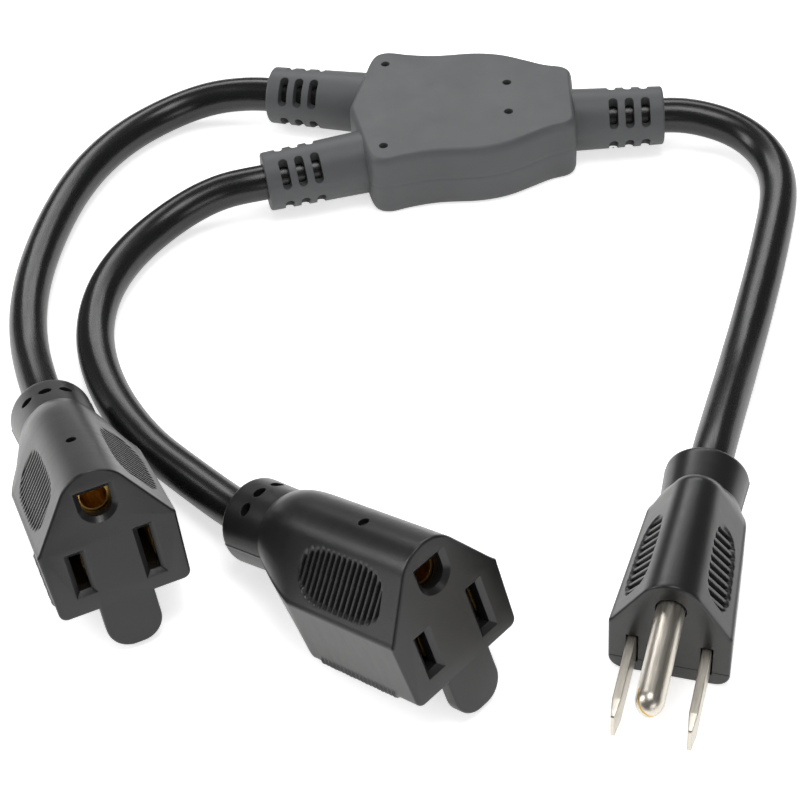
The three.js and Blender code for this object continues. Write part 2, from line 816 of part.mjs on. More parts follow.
function makeOutletBody(name) {
  let body = connectorForm(outletSize);
  body = body.add(thumbTab());
  body = body.subtract(connectorRoom(outletSize, carrierLength + 2 * gap));
  body = body.subtract(toSolid(slotMouth(-bladeOffset, slotWidth, hotSlotHeight)));
  body = body.subtract(toSolid(slotMouth(bladeOffset, slotWidth, neutralSlotHeight)));
  body = body.subtract(toSolid(groundMouth()));
  body = cutGrooves(body, outletProfile, grooveCount, groovePitch, outletGrooveStart, () => 1);
  for (let i = 0; i < neckHoleCount; i += 1) {
    const hole = box(
      [-neckHoleLength / 2, outletNeckRadius - neckHoleDepth, -neckHoleWidth / 2],
      [neckHoleLength / 2, outletNeckRadius + 1, neckHoleWidth / 2],
    );
    hole.rotateZ((2 * Math.PI * i) / neckHoleCount);
    hole.translate(0, outletNeckHeight, -outletLength + neckHoleInset);
    body = body.subtract(toSolid(hole));
  }
  const ridgeHole = new THREE.CylinderGeometry(ventDiameter / 2, ventDiameter / 2, 2, 12);
  ridgeHole.translate(0, outletProfile.top, -ridgeHolePlace);
  body = body.subtract(toSolid(ridgeHole));
  return piece(`${name}_body`, toGeometry(body), darkVinyl);
}

// The hard insert that holds the three contacts, with a pocket for each and a hole for its core
function makeCarrier(name) {
  const outline = inset(connectorOutline(outletProfile), shellWall + gap);
  const front = -faceWall - gap;
  const back = front - carrierLength;
  let carrier = toSolid(prism(outline, back, front));
  const pocketBack = front - contactLength - 2 * gap;
  const pocketHalf = slotWidth / 2 + contactLeaf + gap;
  for (const side of [-1, 1]) {
    const x = side * bladeOffset;
    const pocket = box(
      [x - pocketHalf, -neutralSlotHeight / 2 - gap, pocketBack],
      [x + pocketHalf, neutralSlotHeight / 2 + gap, front + 1],
    );
    carrier = carrier.subtract(toSolid(pocket));
    const hole = roundBar(coreDiameter / 2 + gap, x, 0, back - 1, pocketBack + 1, 12);
    carrier = carrier.subtract(toSolid(hole));
  }
  const groundPocketRadius = pinDiameter / 2 + contactLeaf + gap;
  const groundPocket = roundBar(groundPocketRadius, 0, groundOffset, pocketBack, front + 1, 20);
  const groundHole = roundBar(coreDiameter / 2 + gap, 0, groundOffset, back - 1, pocketBack + 1, 12);
  carrier = carrier.subtract(toSolid(groundPocket)).subtract(toSolid(groundHole));
  return piece(`${name}_carrier`, toGeometry(carrier), insertNylon);
}

// A blade contact: two leaves joined by a base, folded from one strip
function makeBladeContact(name, side) {
  const front = -faceWall - 2 * gap;
  const back = front - contactLength;
  const half = slotWidth / 2 + contactLeaf;
  const x = side * bladeOffset;
  const solid = toSolid(box(
    [x - half, -contactHeight / 2, back],
    [x + half, contactHeight / 2, front],
  ));
  const inner = box(
    [x - slotWidth / 2, -contactHeight / 2 - 1, back + contactBase],
    [x + slotWidth / 2, contactHeight / 2 + 1, front + 1],
  );
  return piece(name, toGeometry(solid.subtract(toSolid(inner))), brass);
}

// The ground contact: a slit sleeve on a round base
function makeGroundContact(name) {
  const front = -faceWall - 2 * gap;
  const back = front - contactLength;
  const outer = roundBar(pinDiameter / 2 + contactLeaf, 0, groundOffset, back, front, 20);
  const inner = roundBar(pinDiameter / 2, 0, groundOffset, back + contactBase, front + 1, 20);
  const slit = box(
    [-contactLeaf / 2, groundOffset, back + contactBase],
    [contactLeaf / 2, groundOffset + pinDiameter, front + 1],
  );
  const solid = toSolid(outer).subtract(toSolid(inner)).subtract(toSolid(slit));
  return piece(name, toGeometry(solid), brass);
}

function makeOutlet(name) {
  const group = new THREE.Group();
  group.add(makeOutletBody(name));
  group.add(makeCarrier(name));
  group.add(makeBladeContact(`${name}_hot_contact`, -1));
  group.add(makeBladeContact(`${name}_neutral_contact`, 1));
  group.add(makeGroundContact(`${name}_ground_contact`));
  const coreFront = -faceWall - 2 * gap - contactLength - seatGap;
  group.add(...makeConnectorCores(name, outletSize, coreFront, carrierLength - contactLength + 1));
  return group;
}

// A blade: a flat bar with its end bevelled on all sides
function makeBlade(name, side) {
  const x = side * bladeOffset;
  const back = -faceWall - gap - bladeRoot + seatGap;
  const rectangle = (w, h, z) => [
    new THREE.Vector3(x - w / 2, -h / 2, z),
    new THREE.Vector3(x + w / 2, -h / 2, z),
    new THREE.Vector3(x + w / 2, h / 2, z),
    new THREE.Vector3(x - w / 2, h / 2, z),
  ];
  return piece(name, loft([
    rectangle(bladeThickness, bladeHeight, back),
    rectangle(bladeThickness, bladeHeight, bladeReach - 3 * bladeBevel),
    rectangle(bladeThickness * 0.8, bladeHeight - 0.4, bladeReach - 1.5 * bladeBevel),
    rectangle(bladeThickness * 0.45, bladeHeight - 2 * bladeBevel, bladeReach),
  ]), nickel);
}

// The ground pin: round, with a domed end
function makeGroundPin() {
  const radius = pinDiameter / 2;
  const back = -faceWall - gap - bladeRoot + seatGap;
  const profile = [new THREE.Vector2(0, back), new THREE.Vector2(radius, back)];
  const domeSteps = 5;
  for (let i = 0; i < domeSteps; i += 1) {
    const angle = (Math.PI / 2) * (i / domeSteps);
    const z = pinReach - pinDome + pinDome * Math.sin(angle);
    profile.push(new THREE.Vector2(radius * Math.cos(angle), z));
  }
  profile.push(new THREE.Vector2(0, pinReach));
  const pin = new THREE.LatheGeometry(profile, 20);
  pin.rotateX(Math.PI / 2);
  pin.translate(0, groundOffset, 0);
  return piece("plug_ground_pin", toGeometry(toSolid(pin)), nickel);
}

// Holes for the blades and the pin, from one depth to another
function prongHoles(zLow, zHigh) {
  let holes = toSolid(roundBar(pinDiameter / 2 + gap, 0, groundOffset, zLow, zHigh, 20));
  for (const side of [-1, 1]) {
    const x = side * bladeOffset;
    const hole = box(
      [x - bladeThickness / 2 - gap, -bladeHeight / 2 - gap, zLow],
      [x + bladeThickness / 2 + gap, bladeHeight / 2 + gap, zHigh],
    );
    holes = holes.add(toSolid(hole));
  }
  return holes;
}

function makePlugBody() {
  let body = connectorForm(plugSize);
  body = body.subtract(connectorRoom({ ...plugSize, profile: plugRoomProfile }, bridgeLength + 2 * gap));
  body = body.subtract(prongHoles(-faceWall - 1, 1));
  const shareAt = (z) => 1 - plugTaper * (-z / plugStraight);
  body = cutGrooves(body, plugProfile, plugGrooveCount, plugGroovePitch, plugGrooveStart, shareAt);
  return piece("plug_body", toGeometry(body), darkVinyl);
}

// The room of the plug is drawn in by as much as its sides taper along the bridge
const plugRoomProfile = {
  ...plugProfile,
  halfWidth: plugProfile.halfWidth - plugRoomInset.side,
  archHalf: plugProfile.archHalf - plugRoomInset.arch,
  top: plugProfile.top - plugRoomInset.arch,
  archBase: plugProfile.archBase - plugRoomInset.archBase,
};

// The hard insert of the plug, which holds the blades and the pin
function makeBridge() {
  const outline = inset(connectorOutline(plugRoomProfile), shellWall + gap);
  const front = -faceWall - gap;
  const back = front - bridgeLength;
  const pocketBack = front - bladeRoot;
  let bridge = toSolid(prism(outline, back, front));
  bridge = bridge.subtract(prongHoles(pocketBack, front + 1));
  for (const conductor of conductors) {
    const x = conductor.side * bladeOffset;
    const y = conductor.side === 0 ? groundOffset : 0;
    const hole = roundBar(coreDiameter / 2 + gap, x, y, back - 1, pocketBack + 1, 12);
    bridge = bridge.subtract(toSolid(hole));
  }
  return piece("plug_bridge", toGeometry(bridge), insertNylon);
}

function makePlug() {
  const group = new THREE.Group();
  group.add(makePlugBody());
  group.add(makeBridge());
  group.add(makeBlade("plug_hot_blade", 1));
  group.add(makeBlade("plug_neutral_blade", -1));
  group.add(makeGroundPin());
  const coreFront = -faceWall - gap - bladeRoot;
  group.add(...makeConnectorCores("plug", plugSize, coreFront, bridgeLength - bladeRoot + 1.5));
  return group;
}

// Lays a connector on the surface: its heading in plan, the upward tilt of its face, and its lowest
// corner brought down to the surface
function layDown(group, place, tilt) {
  const heading = THREE.MathUtils.degToRad(place.heading);
  const out = new THREE.Vector3(
    Math.cos(heading) * Math.cos(tilt),
    Math.sin(heading) * Math.cos(tilt),
    Math.sin(tilt),
  );
  const right = new THREE.Vector3(0, 0, 1).cross(out).normalize();
  const up = out.clone().cross(right);
  group.quaternion.setFromRotationMatrix(new THREE.Matrix4().makeBasis(right, up, out));
  group.position.set(place.x, place.y, 0);
  group.updateMatrixWorld(true);
  const bounds = new THREE.Box3().setFromObject(group, true);
  group.position.z = -bounds.min.z;
  group.updateMatrixWorld(true);
}

// The centre of a laid connector's neck end and the direction in which its cord leaves
function neckExit(group, size) {
  return {
    point: new THREE.Vector3(0, size.neckHeight, -size.length).applyMatrix4(group.matrixWorld),
    direction: new THREE.Vector3(0, 0, -1).transformDirection(group.matrixWorld),
  };
}

// A cord from one exit to another through the middle points of its route
function makeCord(name, start, middle, end) {
  const off = (exit, distance) => exit.point.clone().addScaledVector(exit.direction, distance);
  const points = [
    off(start, gap),
    off(start, cordStraight),
    ...middle.map((point) => new THREE.Vector3(...point)),
    off(end, cordStraight),
    off(end, gap),
  ];
  const length = new THREE.CatmullRomCurve3(points, false, "centripetal").getLength();
  const steps = Math.round(length / (cordStepShare * cordDiameter));
  return piece(name, tube(points, cordDiameter, cordSides, steps), jacketVinyl);
}

const splitter = new THREE.Group();
splitter.name = "power_cord_splitter";
splitter.add(makeBlock());
splitter.add(makeSplices());
splitter.add(makeBlockCores("plug_cord", legs.plug, 1, 0));
splitter.add(makeBlockCores("left_cord", legs.left, -1, spliceLift));
splitter.add(makeBlockCores("front_cord", legs.front, -1, -spliceLift));

// An outlet rests on the back corner of its thumb tab and the underside of its neck
const outletTilt = Math.atan2(
  tabReach - (outletNeckRadius - outletNeckHeight),
  outletLength - tabThickness,
);
const leftOutlet = makeOutlet("left_outlet");
const frontOutlet = makeOutlet("front_outlet");
const plug = makePlug();
layDown(leftOutlet, leftOutletPlace, outletTilt);
layDown(frontOutlet, frontOutletPlace, outletTilt);
layDown(plug, plugPlace, 0);
splitter.add(leftOutlet, frontOutlet, plug);

const plugExit = neckExit(plug, plugSize);
const leftExit = neckExit(leftOutlet, outletSize);
const frontExit = neckExit(frontOutlet, outletSize);
splitter.add(makeCord("plug_cord", legExit(legs.plug), plugCordMiddle, plugExit));
splitter.add(makeCord("left_cord", legExit(legs.left), leftCordMiddle, leftExit));
splitter.add(makeCord("front_cord", legExit(legs.front), frontCordMiddle, frontExit));

export default splitter;
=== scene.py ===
import json
import logging
import math
from dataclasses import dataclass
from enum import Enum
from typing import Optional, Sequence, Union

import bpy
import numpy as np
from mathutils import Matrix, Vector


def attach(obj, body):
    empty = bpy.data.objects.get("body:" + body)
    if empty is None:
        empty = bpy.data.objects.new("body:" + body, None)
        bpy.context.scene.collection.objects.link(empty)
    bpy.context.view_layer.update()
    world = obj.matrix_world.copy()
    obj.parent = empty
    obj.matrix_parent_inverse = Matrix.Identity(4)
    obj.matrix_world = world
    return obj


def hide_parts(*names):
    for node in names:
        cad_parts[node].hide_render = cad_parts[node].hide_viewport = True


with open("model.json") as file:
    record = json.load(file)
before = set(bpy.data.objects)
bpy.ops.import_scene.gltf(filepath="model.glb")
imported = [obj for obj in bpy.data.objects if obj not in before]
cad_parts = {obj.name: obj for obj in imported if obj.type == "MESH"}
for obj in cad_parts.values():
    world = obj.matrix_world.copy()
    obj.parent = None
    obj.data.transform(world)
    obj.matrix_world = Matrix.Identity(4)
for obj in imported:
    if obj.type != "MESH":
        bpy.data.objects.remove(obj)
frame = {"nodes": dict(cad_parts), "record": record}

LOG = logging.getLogger("splitter")
MM = 0.001
WIRE_BORE = 3.25
CORD_RADIUS = 3.95
Array = np.ndarray
Place = tuple[float, float, float]
UPRIGHT = np.array([[1, 0, 0, 0], [0, 0, 1, 0], [0, -1, 0, 0], [0, 0, 0, 1]], float)


class Operation(Enum):
    """How one closed surface works on another."""

    CUT = "DIFFERENCE"
    JOIN = "UNION"


class Slot(Enum):
    """The material slots of the record."""

    BLOCK = "block_vinyl"
    CONNECTOR = "connector_vinyl"
    JACKET = "cord_jacket"
    NYLON = "insert_nylon"
    BRASS = "brass"
    NICKEL = "nickel"
    HOT = "hot_insulation"
    NEUTRAL = "neutral_insulation"
    GROUND = "ground_insulation"


def smooth_step(value: Array) -> Array:
    """Rises from 0 to 1 as the value does, level at both ends."""
    share = np.clip(value, 0.0, 1.0)
    return share * share * (3 - 2 * share)


def even(points: Array, count: int, closed: bool = True) -> Array:
    """Points spaced evenly along a line.

    Args:
        points: the corners of the line, one a row.
        count: how many points come back.
        closed: whether the line returns to its start.

    Returns:
        The new points, one a row.
    """
    line = np.vstack([points, points[:1]]) if closed else points
    steps = np.linalg.norm(np.diff(line, axis=0), axis=1)
    along = np.concatenate([[0.0], np.cumsum(steps)])
    wanted = np.linspace(0, along[-1], count, endpoint=not closed)
    return np.stack([np.interp(wanted, along, line[:, k]) for k in range(line.shape[1])], axis=1)


def rounded(corners: Sequence[tuple[float, float, float]], steps: int = 14) -> Array:
    """A closed polygon with an arc at each corner that has a radius.

    Args:
        corners: x, y and the corner's radius, anticlockwise.
        steps: how many parts an arc has.

    Returns:
        The points of the outline.
    """
    spots = np.array([corner[:2] for corner in corners], float)
    out = []
    for i, (x, y, radius) in enumerate(corners):
        here = np.array([x, y])
        if radius <= 0:
            out.append(here[None])
            continue
        back = spots[i - 1] - here
        ahead = spots[(i + 1) % len(corners)] - here
        back /= np.linalg.norm(back)
        ahead /= np.linalg.norm(ahead)
        half = math.acos(float(np.clip(back @ ahead, -1, 1))) / 2
        middle = here + (back + ahead) / np.linalg.norm(back + ahead) * radius / math.sin(half)
        reach = radius / math.tan(half)
        start, end = here + back * reach - middle, here + ahead * reach - middle
        first = math.atan2(start[1], start[0])
        turn = (math.atan2(end[1], end[0]) - first + math.pi) % (2 * math.pi) - math.pi
        angle = first + turn * np.linspace(0, 1, steps + 1)
        out.append(middle + radius * np.stack([np.cos(angle), np.sin(angle)], axis=1))
    return np.vstack(out)


def softened(outline: Array, reach: float) -> Array:
    """A closed even line averaged over a short reach, so that its corners turn softly.

    Each point becomes the mean of all, weighed by a bell curve of their distance along the line.

    Args:
        outline: the line's points, one a row.
        reach: the bell curve's width, in the line's own unit.

    Returns:
        The new points.
    """
    count = len(outline)
    step = np.linalg.norm(np.diff(outline, axis=0), axis=1).mean()
    index = np.arange(count)
    away = np.minimum(index, count - index) * step
    weight = np.exp(-0.5 * (away / reach) ** 2)
    weight /= weight.sum()
    spectrum = np.fft.fft(weight)[:, None]
    return np.fft.ifft(np.fft.fft(outline, axis=0) * spectrum, axis=0).real


def eased(line: Array, reach: float) -> Array:
    """An open even line averaged over a reach; it is carried on straight, which holds its ends.

    Args:
        line: its points, one a row.
        reach: the bell curve's width, counted in points.

    Returns:
        The new points.
    """
    pad = int(4 * reach)
    before = line[0] + (line[0] - line[1]) * np.arange(pad, 0, -1)[:, None]
    after = line[-1] + (line[-1] - line[-2]) * np.arange(1, pad + 1)[:, None]
    long = np.vstack([before, line, after])
    weight = np.exp(-0.5 * (np.arange(-pad, pad + 1) / reach) ** 2)
    weight /= weight.sum()
    columns = [np.convolve(column, weight, "valid") for column in long.T]
    return np.stack(columns, axis=1)


def catmull(points: Array, count: int) -> Array:
    """A smooth line through points, its pace set by the root of their distances.

    Each stretch is the cubic whose tangents at its ends come from the neighbouring points, weighed
    by the root of the distance to them; beyond the first and last point the line is mirrored.

    Args:
        points: the points that the line goes through.
        count: how many points come back.

    Returns:
        The line's points.
    """
    spots = np.vstack([2 * points[0] - points[1], points, 2 * points[-1] - points[-2]])
    place = np.linspace(0, len(points) - 1, count)
    cell = np.minimum(place.astype(int), len(points) - 2)
    t = (place - cell)[:, None]
    p0, p1, p2, p3 = (spots[cell + k] for k in range(4))
    spans = ((p0, p1), (p1, p2), (p2, p3))
    d0, d1, d2 = (np.sqrt(np.linalg.norm(b - a, axis=1))[:, None] for a, b in spans)
    m1 = ((p1 - p0) / d0 - (p2 - p0) / (d0 + d1) + (p2 - p1) / d1) * d1
    m2 = ((p2 - p1) / d1 - (p3 - p1) / (d1 + d2) + (p3 - p2) / d2) * d1
    return p1 + m1 * t + (3 * (p2 - p1) - 2 * m1 - m2) * t**2 + (2 * (p1 - p2) + m1 + m2) * t**3


def outward(ring: Array) -> Array:
    """Unit vectors square to closed anticlockwise outlines, away from their insides."""
    along = np.roll(ring, -1, axis=-2) - np.roll(ring, 1, axis=-2)
    along /= np.linalg.norm(along, axis=-1, keepdims=True)
    return np.stack([along[..., 1], -along[..., 0]], axis=-1)


def lifted(outline: Array, height: float) -> Array:
    """A plane outline as points in space at one height."""
    return np.column_stack([outline, np.full(len(outline), height)])


def circle(radius: float, count: int, centre: tuple[float, float] = (0.0, 0.0)) -> Array:
    """A closed circle of so many points, anticlockwise."""
    angle = np.arange(count) * 2 * math.pi / count
    return np.stack([np.cos(angle), np.sin(angle)], axis=1) * radius + centre


def fillet(edge: float, steps: int = 7) -> tuple[Array, Array]:
    """How far back and how far in a rolled edge lies, from the flat end to the side."""
    angle = np.linspace(0, math.pi / 2, steps)
    return edge * (1 - np.cos(angle)), edge * (1 - np.sin(angle))


@dataclass
class Shell:
    """A closed surface in millimetres.

    Attributes:
        points: its corners, one a row.
        corners: the corner numbers of all faces in one row.
        sizes: how many corners each face has.
    """

    points: Array
    corners: Array
    sizes: Array

    @classmethod
    def skin(cls, rings: Union[Array, Sequence[Array]]) -> "Shell":
        """Joins closed rings and shuts both ends with flat faces.

        Args:
            rings: closed rings of equal counts, anticlockwise, from back to front.

        Returns:
            The closed surface, its faces pointing outwards.
        """
        stack = np.asarray(rings, float)
        rows, count = stack.shape[:2]
        index = np.arange(rows * count).reshape(rows, count)
        ahead = np.roll(index, -1, axis=1)
        quads = np.stack([index[:-1], ahead[:-1], ahead[1:], index[1:]], axis=-1).reshape(-1, 4)
        corners = np.concatenate([quads.ravel(), index[0][::-1], index[-1]])
        sizes = np.concatenate([np.full(len(quads), 4), [count, count]])
        return cls(stack.reshape(-1, 3), corners, sizes)

    @classmethod
    def read(cls, mesh: bpy.types.Mesh) -> "Shell":
        """The surface of a Blender mesh.

        Args:
            mesh: the mesh, in metres.

        Returns:
            The surface, in millimetres.
        """
        points = np.empty(len(mesh.vertices) * 3)
        mesh.vertices.foreach_get("co", points)
        corners = np.empty(len(mesh.loops), int)
        mesh.loops.foreach_get("vertex_index", corners)
        sizes = np.empty(len(mesh.polygons), int)
        mesh.polygons.foreach_get("loop_total", sizes)
        return cls(points.reshape(-1, 3) / MM, corners, sizes)

    def __add__(self, other: "Shell") -> "Shell":
        """Both surfaces as one, side by side."""
        return Shell(
            np.vstack([self.points, other.points]),
            np.concatenate([self.corners, other.corners + len(self.points)]),
            np.concatenate([self.sizes, other.sizes]),
        )

    def moved(self, matrix: Array) -> "Shell":
        """The surface under a 4 by 4 matrix that keeps its handedness."""
        return Shell(self.points @ matrix[:3, :3].T + matrix[:3, 3], self.corners, self.sizes)

    def mesh(self, name: str) -> bpy.types.Mesh:
        """The surface as a Blender mesh, in metres.

        Args:
            name: the new mesh's name.

        Returns:
            The new mesh.
        """
        data = bpy.data.meshes.new(name)
        data.vertices.add(len(self.points))
        data.vertices.foreach_set("co", (self.points * MM).ravel())
        data.loops.add(len(self.corners))
        data.loops.foreach_set("vertex_index", self.corners.astype(np.int32))
        data.polygons.add(len(self.sizes))
        starts = np.concatenate([[0], np.cumsum(self.sizes)[:-1]])
        data.polygons.foreach_set("loop_start", starts.astype(np.int32))
        data.update(calc_edges=True)
        return data

    def worked(self, other: "Shell", operation: Operation) -> "Shell":
        """This surface cut by another, or joined to it.

        Args:
            other: a closed surface that overlaps this one.
            operation: what is done.

        Returns:
            The new closed surface.
        """
        host = bpy.data.objects.new("host", self.mesh("host"))
        tool = bpy.data.objects.new("tool", other.mesh("tool"))
        for item in (host, tool):
            bpy.context.scene.collection.objects.link(item)
        change = host.modifiers.new("change", "BOOLEAN")
        change.operation = operation.value
        change.solver = "MANIFOLD"
        change.object = tool
        graph = bpy.context.evaluated_depsgraph_get()
        result = Shell.read(host.evaluated_get(graph).data)
        for item in (host, tool):
            data = item.data
            bpy.data.objects.remove(item)
            bpy.data.meshes.remove(data)
        if not len(result.sizes):
            raise RuntimeError("a cut left nothing")
        return result

    def cut(self, *others: "Shell") -> "Shell":
        """This surface with others taken out of it."""
        result = self
        for other in others:
            result = result.worked(other, Operation.CUT)
        return result

    def joined(self, *others: "Shell") -> "Shell":
        """This surface fused with others that overlap it."""
        result = self
        for other in others:
            result = result.worked(other, Operation.JOIN)
        return result


def together(shells: Sequence[Shell]) -> Shell:
    """Several surfaces as one, side by side."""
    made = shells[0]
    for shell in shells[1:]:
        made = made + shell
    return made


def prism(outline: Array, low: float, high: float) -> Shell:
    """A plane anticlockwise outline pulled up from one height to another."""
    return Shell.skin([lifted(outline, low), lifted(outline, high)])


def bar(
    radius: float,
    low: float,
    high: float,
    centre: tuple[float, float] = (0.0, 0.0),
    count: int = 40,
) -> Shell:
    """A round bar along Z, of so many sides."""
    return prism(circle(radius, count, centre), low, high)


def block(low: Sequence[float], high: Sequence[float]) -> Shell:
    """A plain block between two corners, for cuts."""
    (left, front, floor), (right, back, top) = low, high
    outline = np.array([[left, front], [right, front], [right, back], [left, back]], float)
    return prism(outline, floor, top)


def bar_outline(
    x: float, half_width: float, half_height: float, corner: float, steps: int
) -> Array:
    """An upright rectangle, its corners rounded.

    Args:
        x: its middle, on the X axis.
        half_width: half its width.
        half_height: half its height.
        corner: the radius of its corners.
        steps: how many parts each corner's arc has.

    Returns:
        The points of the outline, anticlockwise.
    """
    left, right = x - half_width, x + half_width
    return rounded([
        (left, -half_height, corner), (right, -half_height, corner),
        (right, half_height, corner), (left, half_height, corner),
    ], steps)


def lathe(profile: Array, count: int = 64) -> Shell:
    """A round form along Z from rows of radius and height, low to high."""
    unit = circle(1.0, count)
    return Shell.skin([lifted(unit * radius, height) for radius, height in profile])


def frame_matrix(right: Vector, up: Vector, out: Vector, place: Vector) -> Array:
    """A 4 by 4 matrix from three axes and a place."""
    matrix = np.eye(4)
    matrix[:3, 0], matrix[:3, 1], matrix[:3, 2], matrix[:3, 3] = right, up, out, place
    return matrix


def show(
    shell: Shell,
    name: str,
    material: bpy.types.Material,
    replaces: Sequence[str] = (),
    stance: Optional[Array] = None,
    crease: float = 34.0,
) -> bpy.types.Object:
    """Puts a surface into the scene as a finished piece.

    Args:
        shell: the surface, in its own frame.
        name: the piece's name.
        material: what it is made of.
        replaces: the CAD nodes that it stands for.
        stance: where its own frame lies in the part's frame.
        crease: the angle in degrees above which an edge stays sharp.

    Returns:
        The new object, whose mesh keeps each corner's place in the piece's own frame, in
        millimetres, as the attribute "own".
    """
    placed = shell if stance is None else shell.moved(stance)
    data = placed.mesh(name)
    own = data.attributes.new("own", "FLOAT_VECTOR", "POINT")
    own.data.foreach_set("vector", shell.points.astype(np.float32).ravel())
    data.shade_smooth()
    data.set_sharp_from_angle(angle=math.radians(crease))
    data.materials.append(material)
    item = bpy.data.objects.new(name, data)
    bpy.context.scene.collection.objects.link(item)
    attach(item, "root")
    if replaces:
        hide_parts(*replaces)
    LOG.info("%s: %d corners", name, len(data.vertices))
    return item


class Signal:
    """A node's output that takes part in sums as a number does."""

    def __init__(self, paint: "Paint", socket: bpy.types.NodeSocket) -> None:
        """Keeps the paint that the node belongs to, and the output."""
        self.paint = paint
        self.socket = socket

    def _sum(self, operation: str, *terms: "Term") -> "Signal":
        """One Math node on the terms, in their order."""
        return self.paint.node("ShaderNodeMath", dict(enumerate(terms)), operation=operation)

    def __add__(self, other: "Term") -> "Signal":
        """This plus the other."""
        return self._sum("ADD", self, other)

    def __sub__(self, other: "Term") -> "Signal":
        """This less the other."""
        return self._sum("SUBTRACT", self, other)

    def __mul__(self, other: "Term") -> "Signal":
        """This times the other."""
        return self._sum("MULTIPLY", self, other)

    def __radd__(self, other: "Term") -> "Signal":
        """The other plus this."""
        return self._sum("ADD", other, self)

    def __rsub__(self, other: "Term") -> "Signal":
        """The other less this."""
        return self._sum("SUBTRACT", other, self)

    def __rmul__(self, other: "Term") -> "Signal":
        """The other times this."""
        return self._sum("MULTIPLY", other, self)

    def __abs__(self) -> "Signal":
        """This without its sign."""
        return self._sum("ABSOLUTE", self)

    def above(self, other: "Term") -> "Signal":
        """1 where this is greater than the other, else 0."""
        return self._sum("GREATER_THAN", self, other)

    def ramp(self, start: float, end: float, low: float = 0.0, high: float = 1.0) -> "Signal":
        """Goes smoothly from low to high while this goes from start to end."""
        return self.paint.node(
            "ShaderNodeMapRange",
            {"Value": self, "From Min": start, "From Max": end, "To Min": low, "To Max": high},
            interpolation_type="SMOOTHSTEP",
        )


Term = Union[Signal, float]
Value = Union[Signal, float, Sequence[float]]


class Paint:
    """Builds one material out of nodes."""

    def __init__(self, name: str) -> None:
        """Starts a material with a principled shader."""
        self.material = bpy.data.materials.new(name)
        self.material.use_nodes = True
        self.tree = self.material.node_tree
        self.shader = self.tree.nodes["Principled BSDF"]

    def node(
        self,
        kind: str,
        inputs: Optional[dict[Union[int, str], Value]] = None,
        output: Union[int, str] = 0,
        **settings: Union[int, str],
    ) -> Signal:
        """Any node, its settings set and its inputs linked or filled.

        Args:
            kind: the node's type.
            inputs: values or signals by the number or the name of their socket.
            output: which of its outputs comes back.
            **settings: the node's own settings, which are set first.

        Returns:
            The chosen output.
        """
        made = self.tree.nodes.new(kind)
        for key, value in settings.items():
            setattr(made, key, value)
        for key, value in (inputs or {}).items():
            self.feed(made.inputs[key], value)
        return Signal(self, made.outputs[output])

    def feed(self, socket: bpy.types.NodeSocket, value: Value) -> None:
        """Links a signal to a socket, or sets the socket's own value."""
        if isinstance(value, Signal):
            self.tree.links.new(value.socket, socket)
        else:
            socket.default_value = value

    def own(self) -> Signal:
        """The place in the piece's own frame, in millimetres."""
        return self.node("ShaderNodeAttribute", output="Vector", attribute_name="own")

    def spot(self) -> Signal:
        """The place in the part's frame, in millimetres."""
        place = self.node("ShaderNodeTexCoord", output="Object")
        return self.node("ShaderNodeVectorMath", {0: place, "Scale": 1 / MM}, operation="SCALE")

    def axes(self, vector: Signal) -> tuple[Signal, Signal, Signal]:
        """The three numbers of a vector."""
        made = self.node("ShaderNodeSeparateXYZ", {0: vector}).socket.node
        return tuple(Signal(self, output) for output in made.outputs)

    def noise(
        self, vector: Signal, scale: float, detail: float = 2.0, roughness: float = 0.5
    ) -> Signal:
        """Smooth random unevenness between 0 and 1."""
        return self.node(
            "ShaderNodeTexNoise",
            {"Vector": vector, "Scale": scale, "Detail": detail, "Roughness": roughness},
        )

    def stretched(self, vector: Signal, by: tuple[float, float, float]) -> Signal:
        """A vector with each of its numbers multiplied."""
        return self.node("ShaderNodeVectorMath", {0: vector, 1: by}, operation="MULTIPLY")

    def mix(self, share: Term, first: Value, second: Value) -> Signal:
        """A colour between two colours."""
        return self.node(
            "ShaderNodeMix", {"Factor": share, 6: first, 7: second}, output=2, data_type="RGBA"
        )

    def bump(
        self,
        height: Signal,
        distance: float,
        strength: float = 1.0,
        under: Optional[Signal] = None,
    ) -> Signal:
        """Relief from a height between 0 and 1.

        Args:
            height: the height.
            distance: how deep it goes, in millimetres.
            strength: its share of the effect.
            under: the normals that it lies on.

        Returns:
            The new normals.
        """
        inputs = {"Height": height, "Distance": distance * MM, "Strength": strength}
        if under is not None:
            inputs["Normal"] = under
        return self.node("ShaderNodeBump", inputs)

    def soft_edges(self, radius: float) -> Signal:
        """Normals that roll over sharp edges, the radius in millimetres."""
        return self.node("ShaderNodeBevel", {"Radius": radius * MM}, samples=4)

    def done(self, **sockets: Value) -> bpy.types.Material:
        """Sets the shader's sockets, underscores standing for spaces, and returns the material."""
        for key, value in sockets.items():
            self.feed(self.shader.inputs[key.replace("_", " ")], value)
        return self.material


Colour = tuple[float, float, float, float]


def shade(level: float, warmth: float = 0.0) -> Colour:
    """A grey, a little warm or cold."""
    return (level * (1 + warmth), level, level * (1 - warmth), 1.0)


def tinted(colour: Colour, by: float) -> Colour:
    """A colour made lighter or darker."""
    return tuple(part * by for part in colour[:3]) + (1.0,)


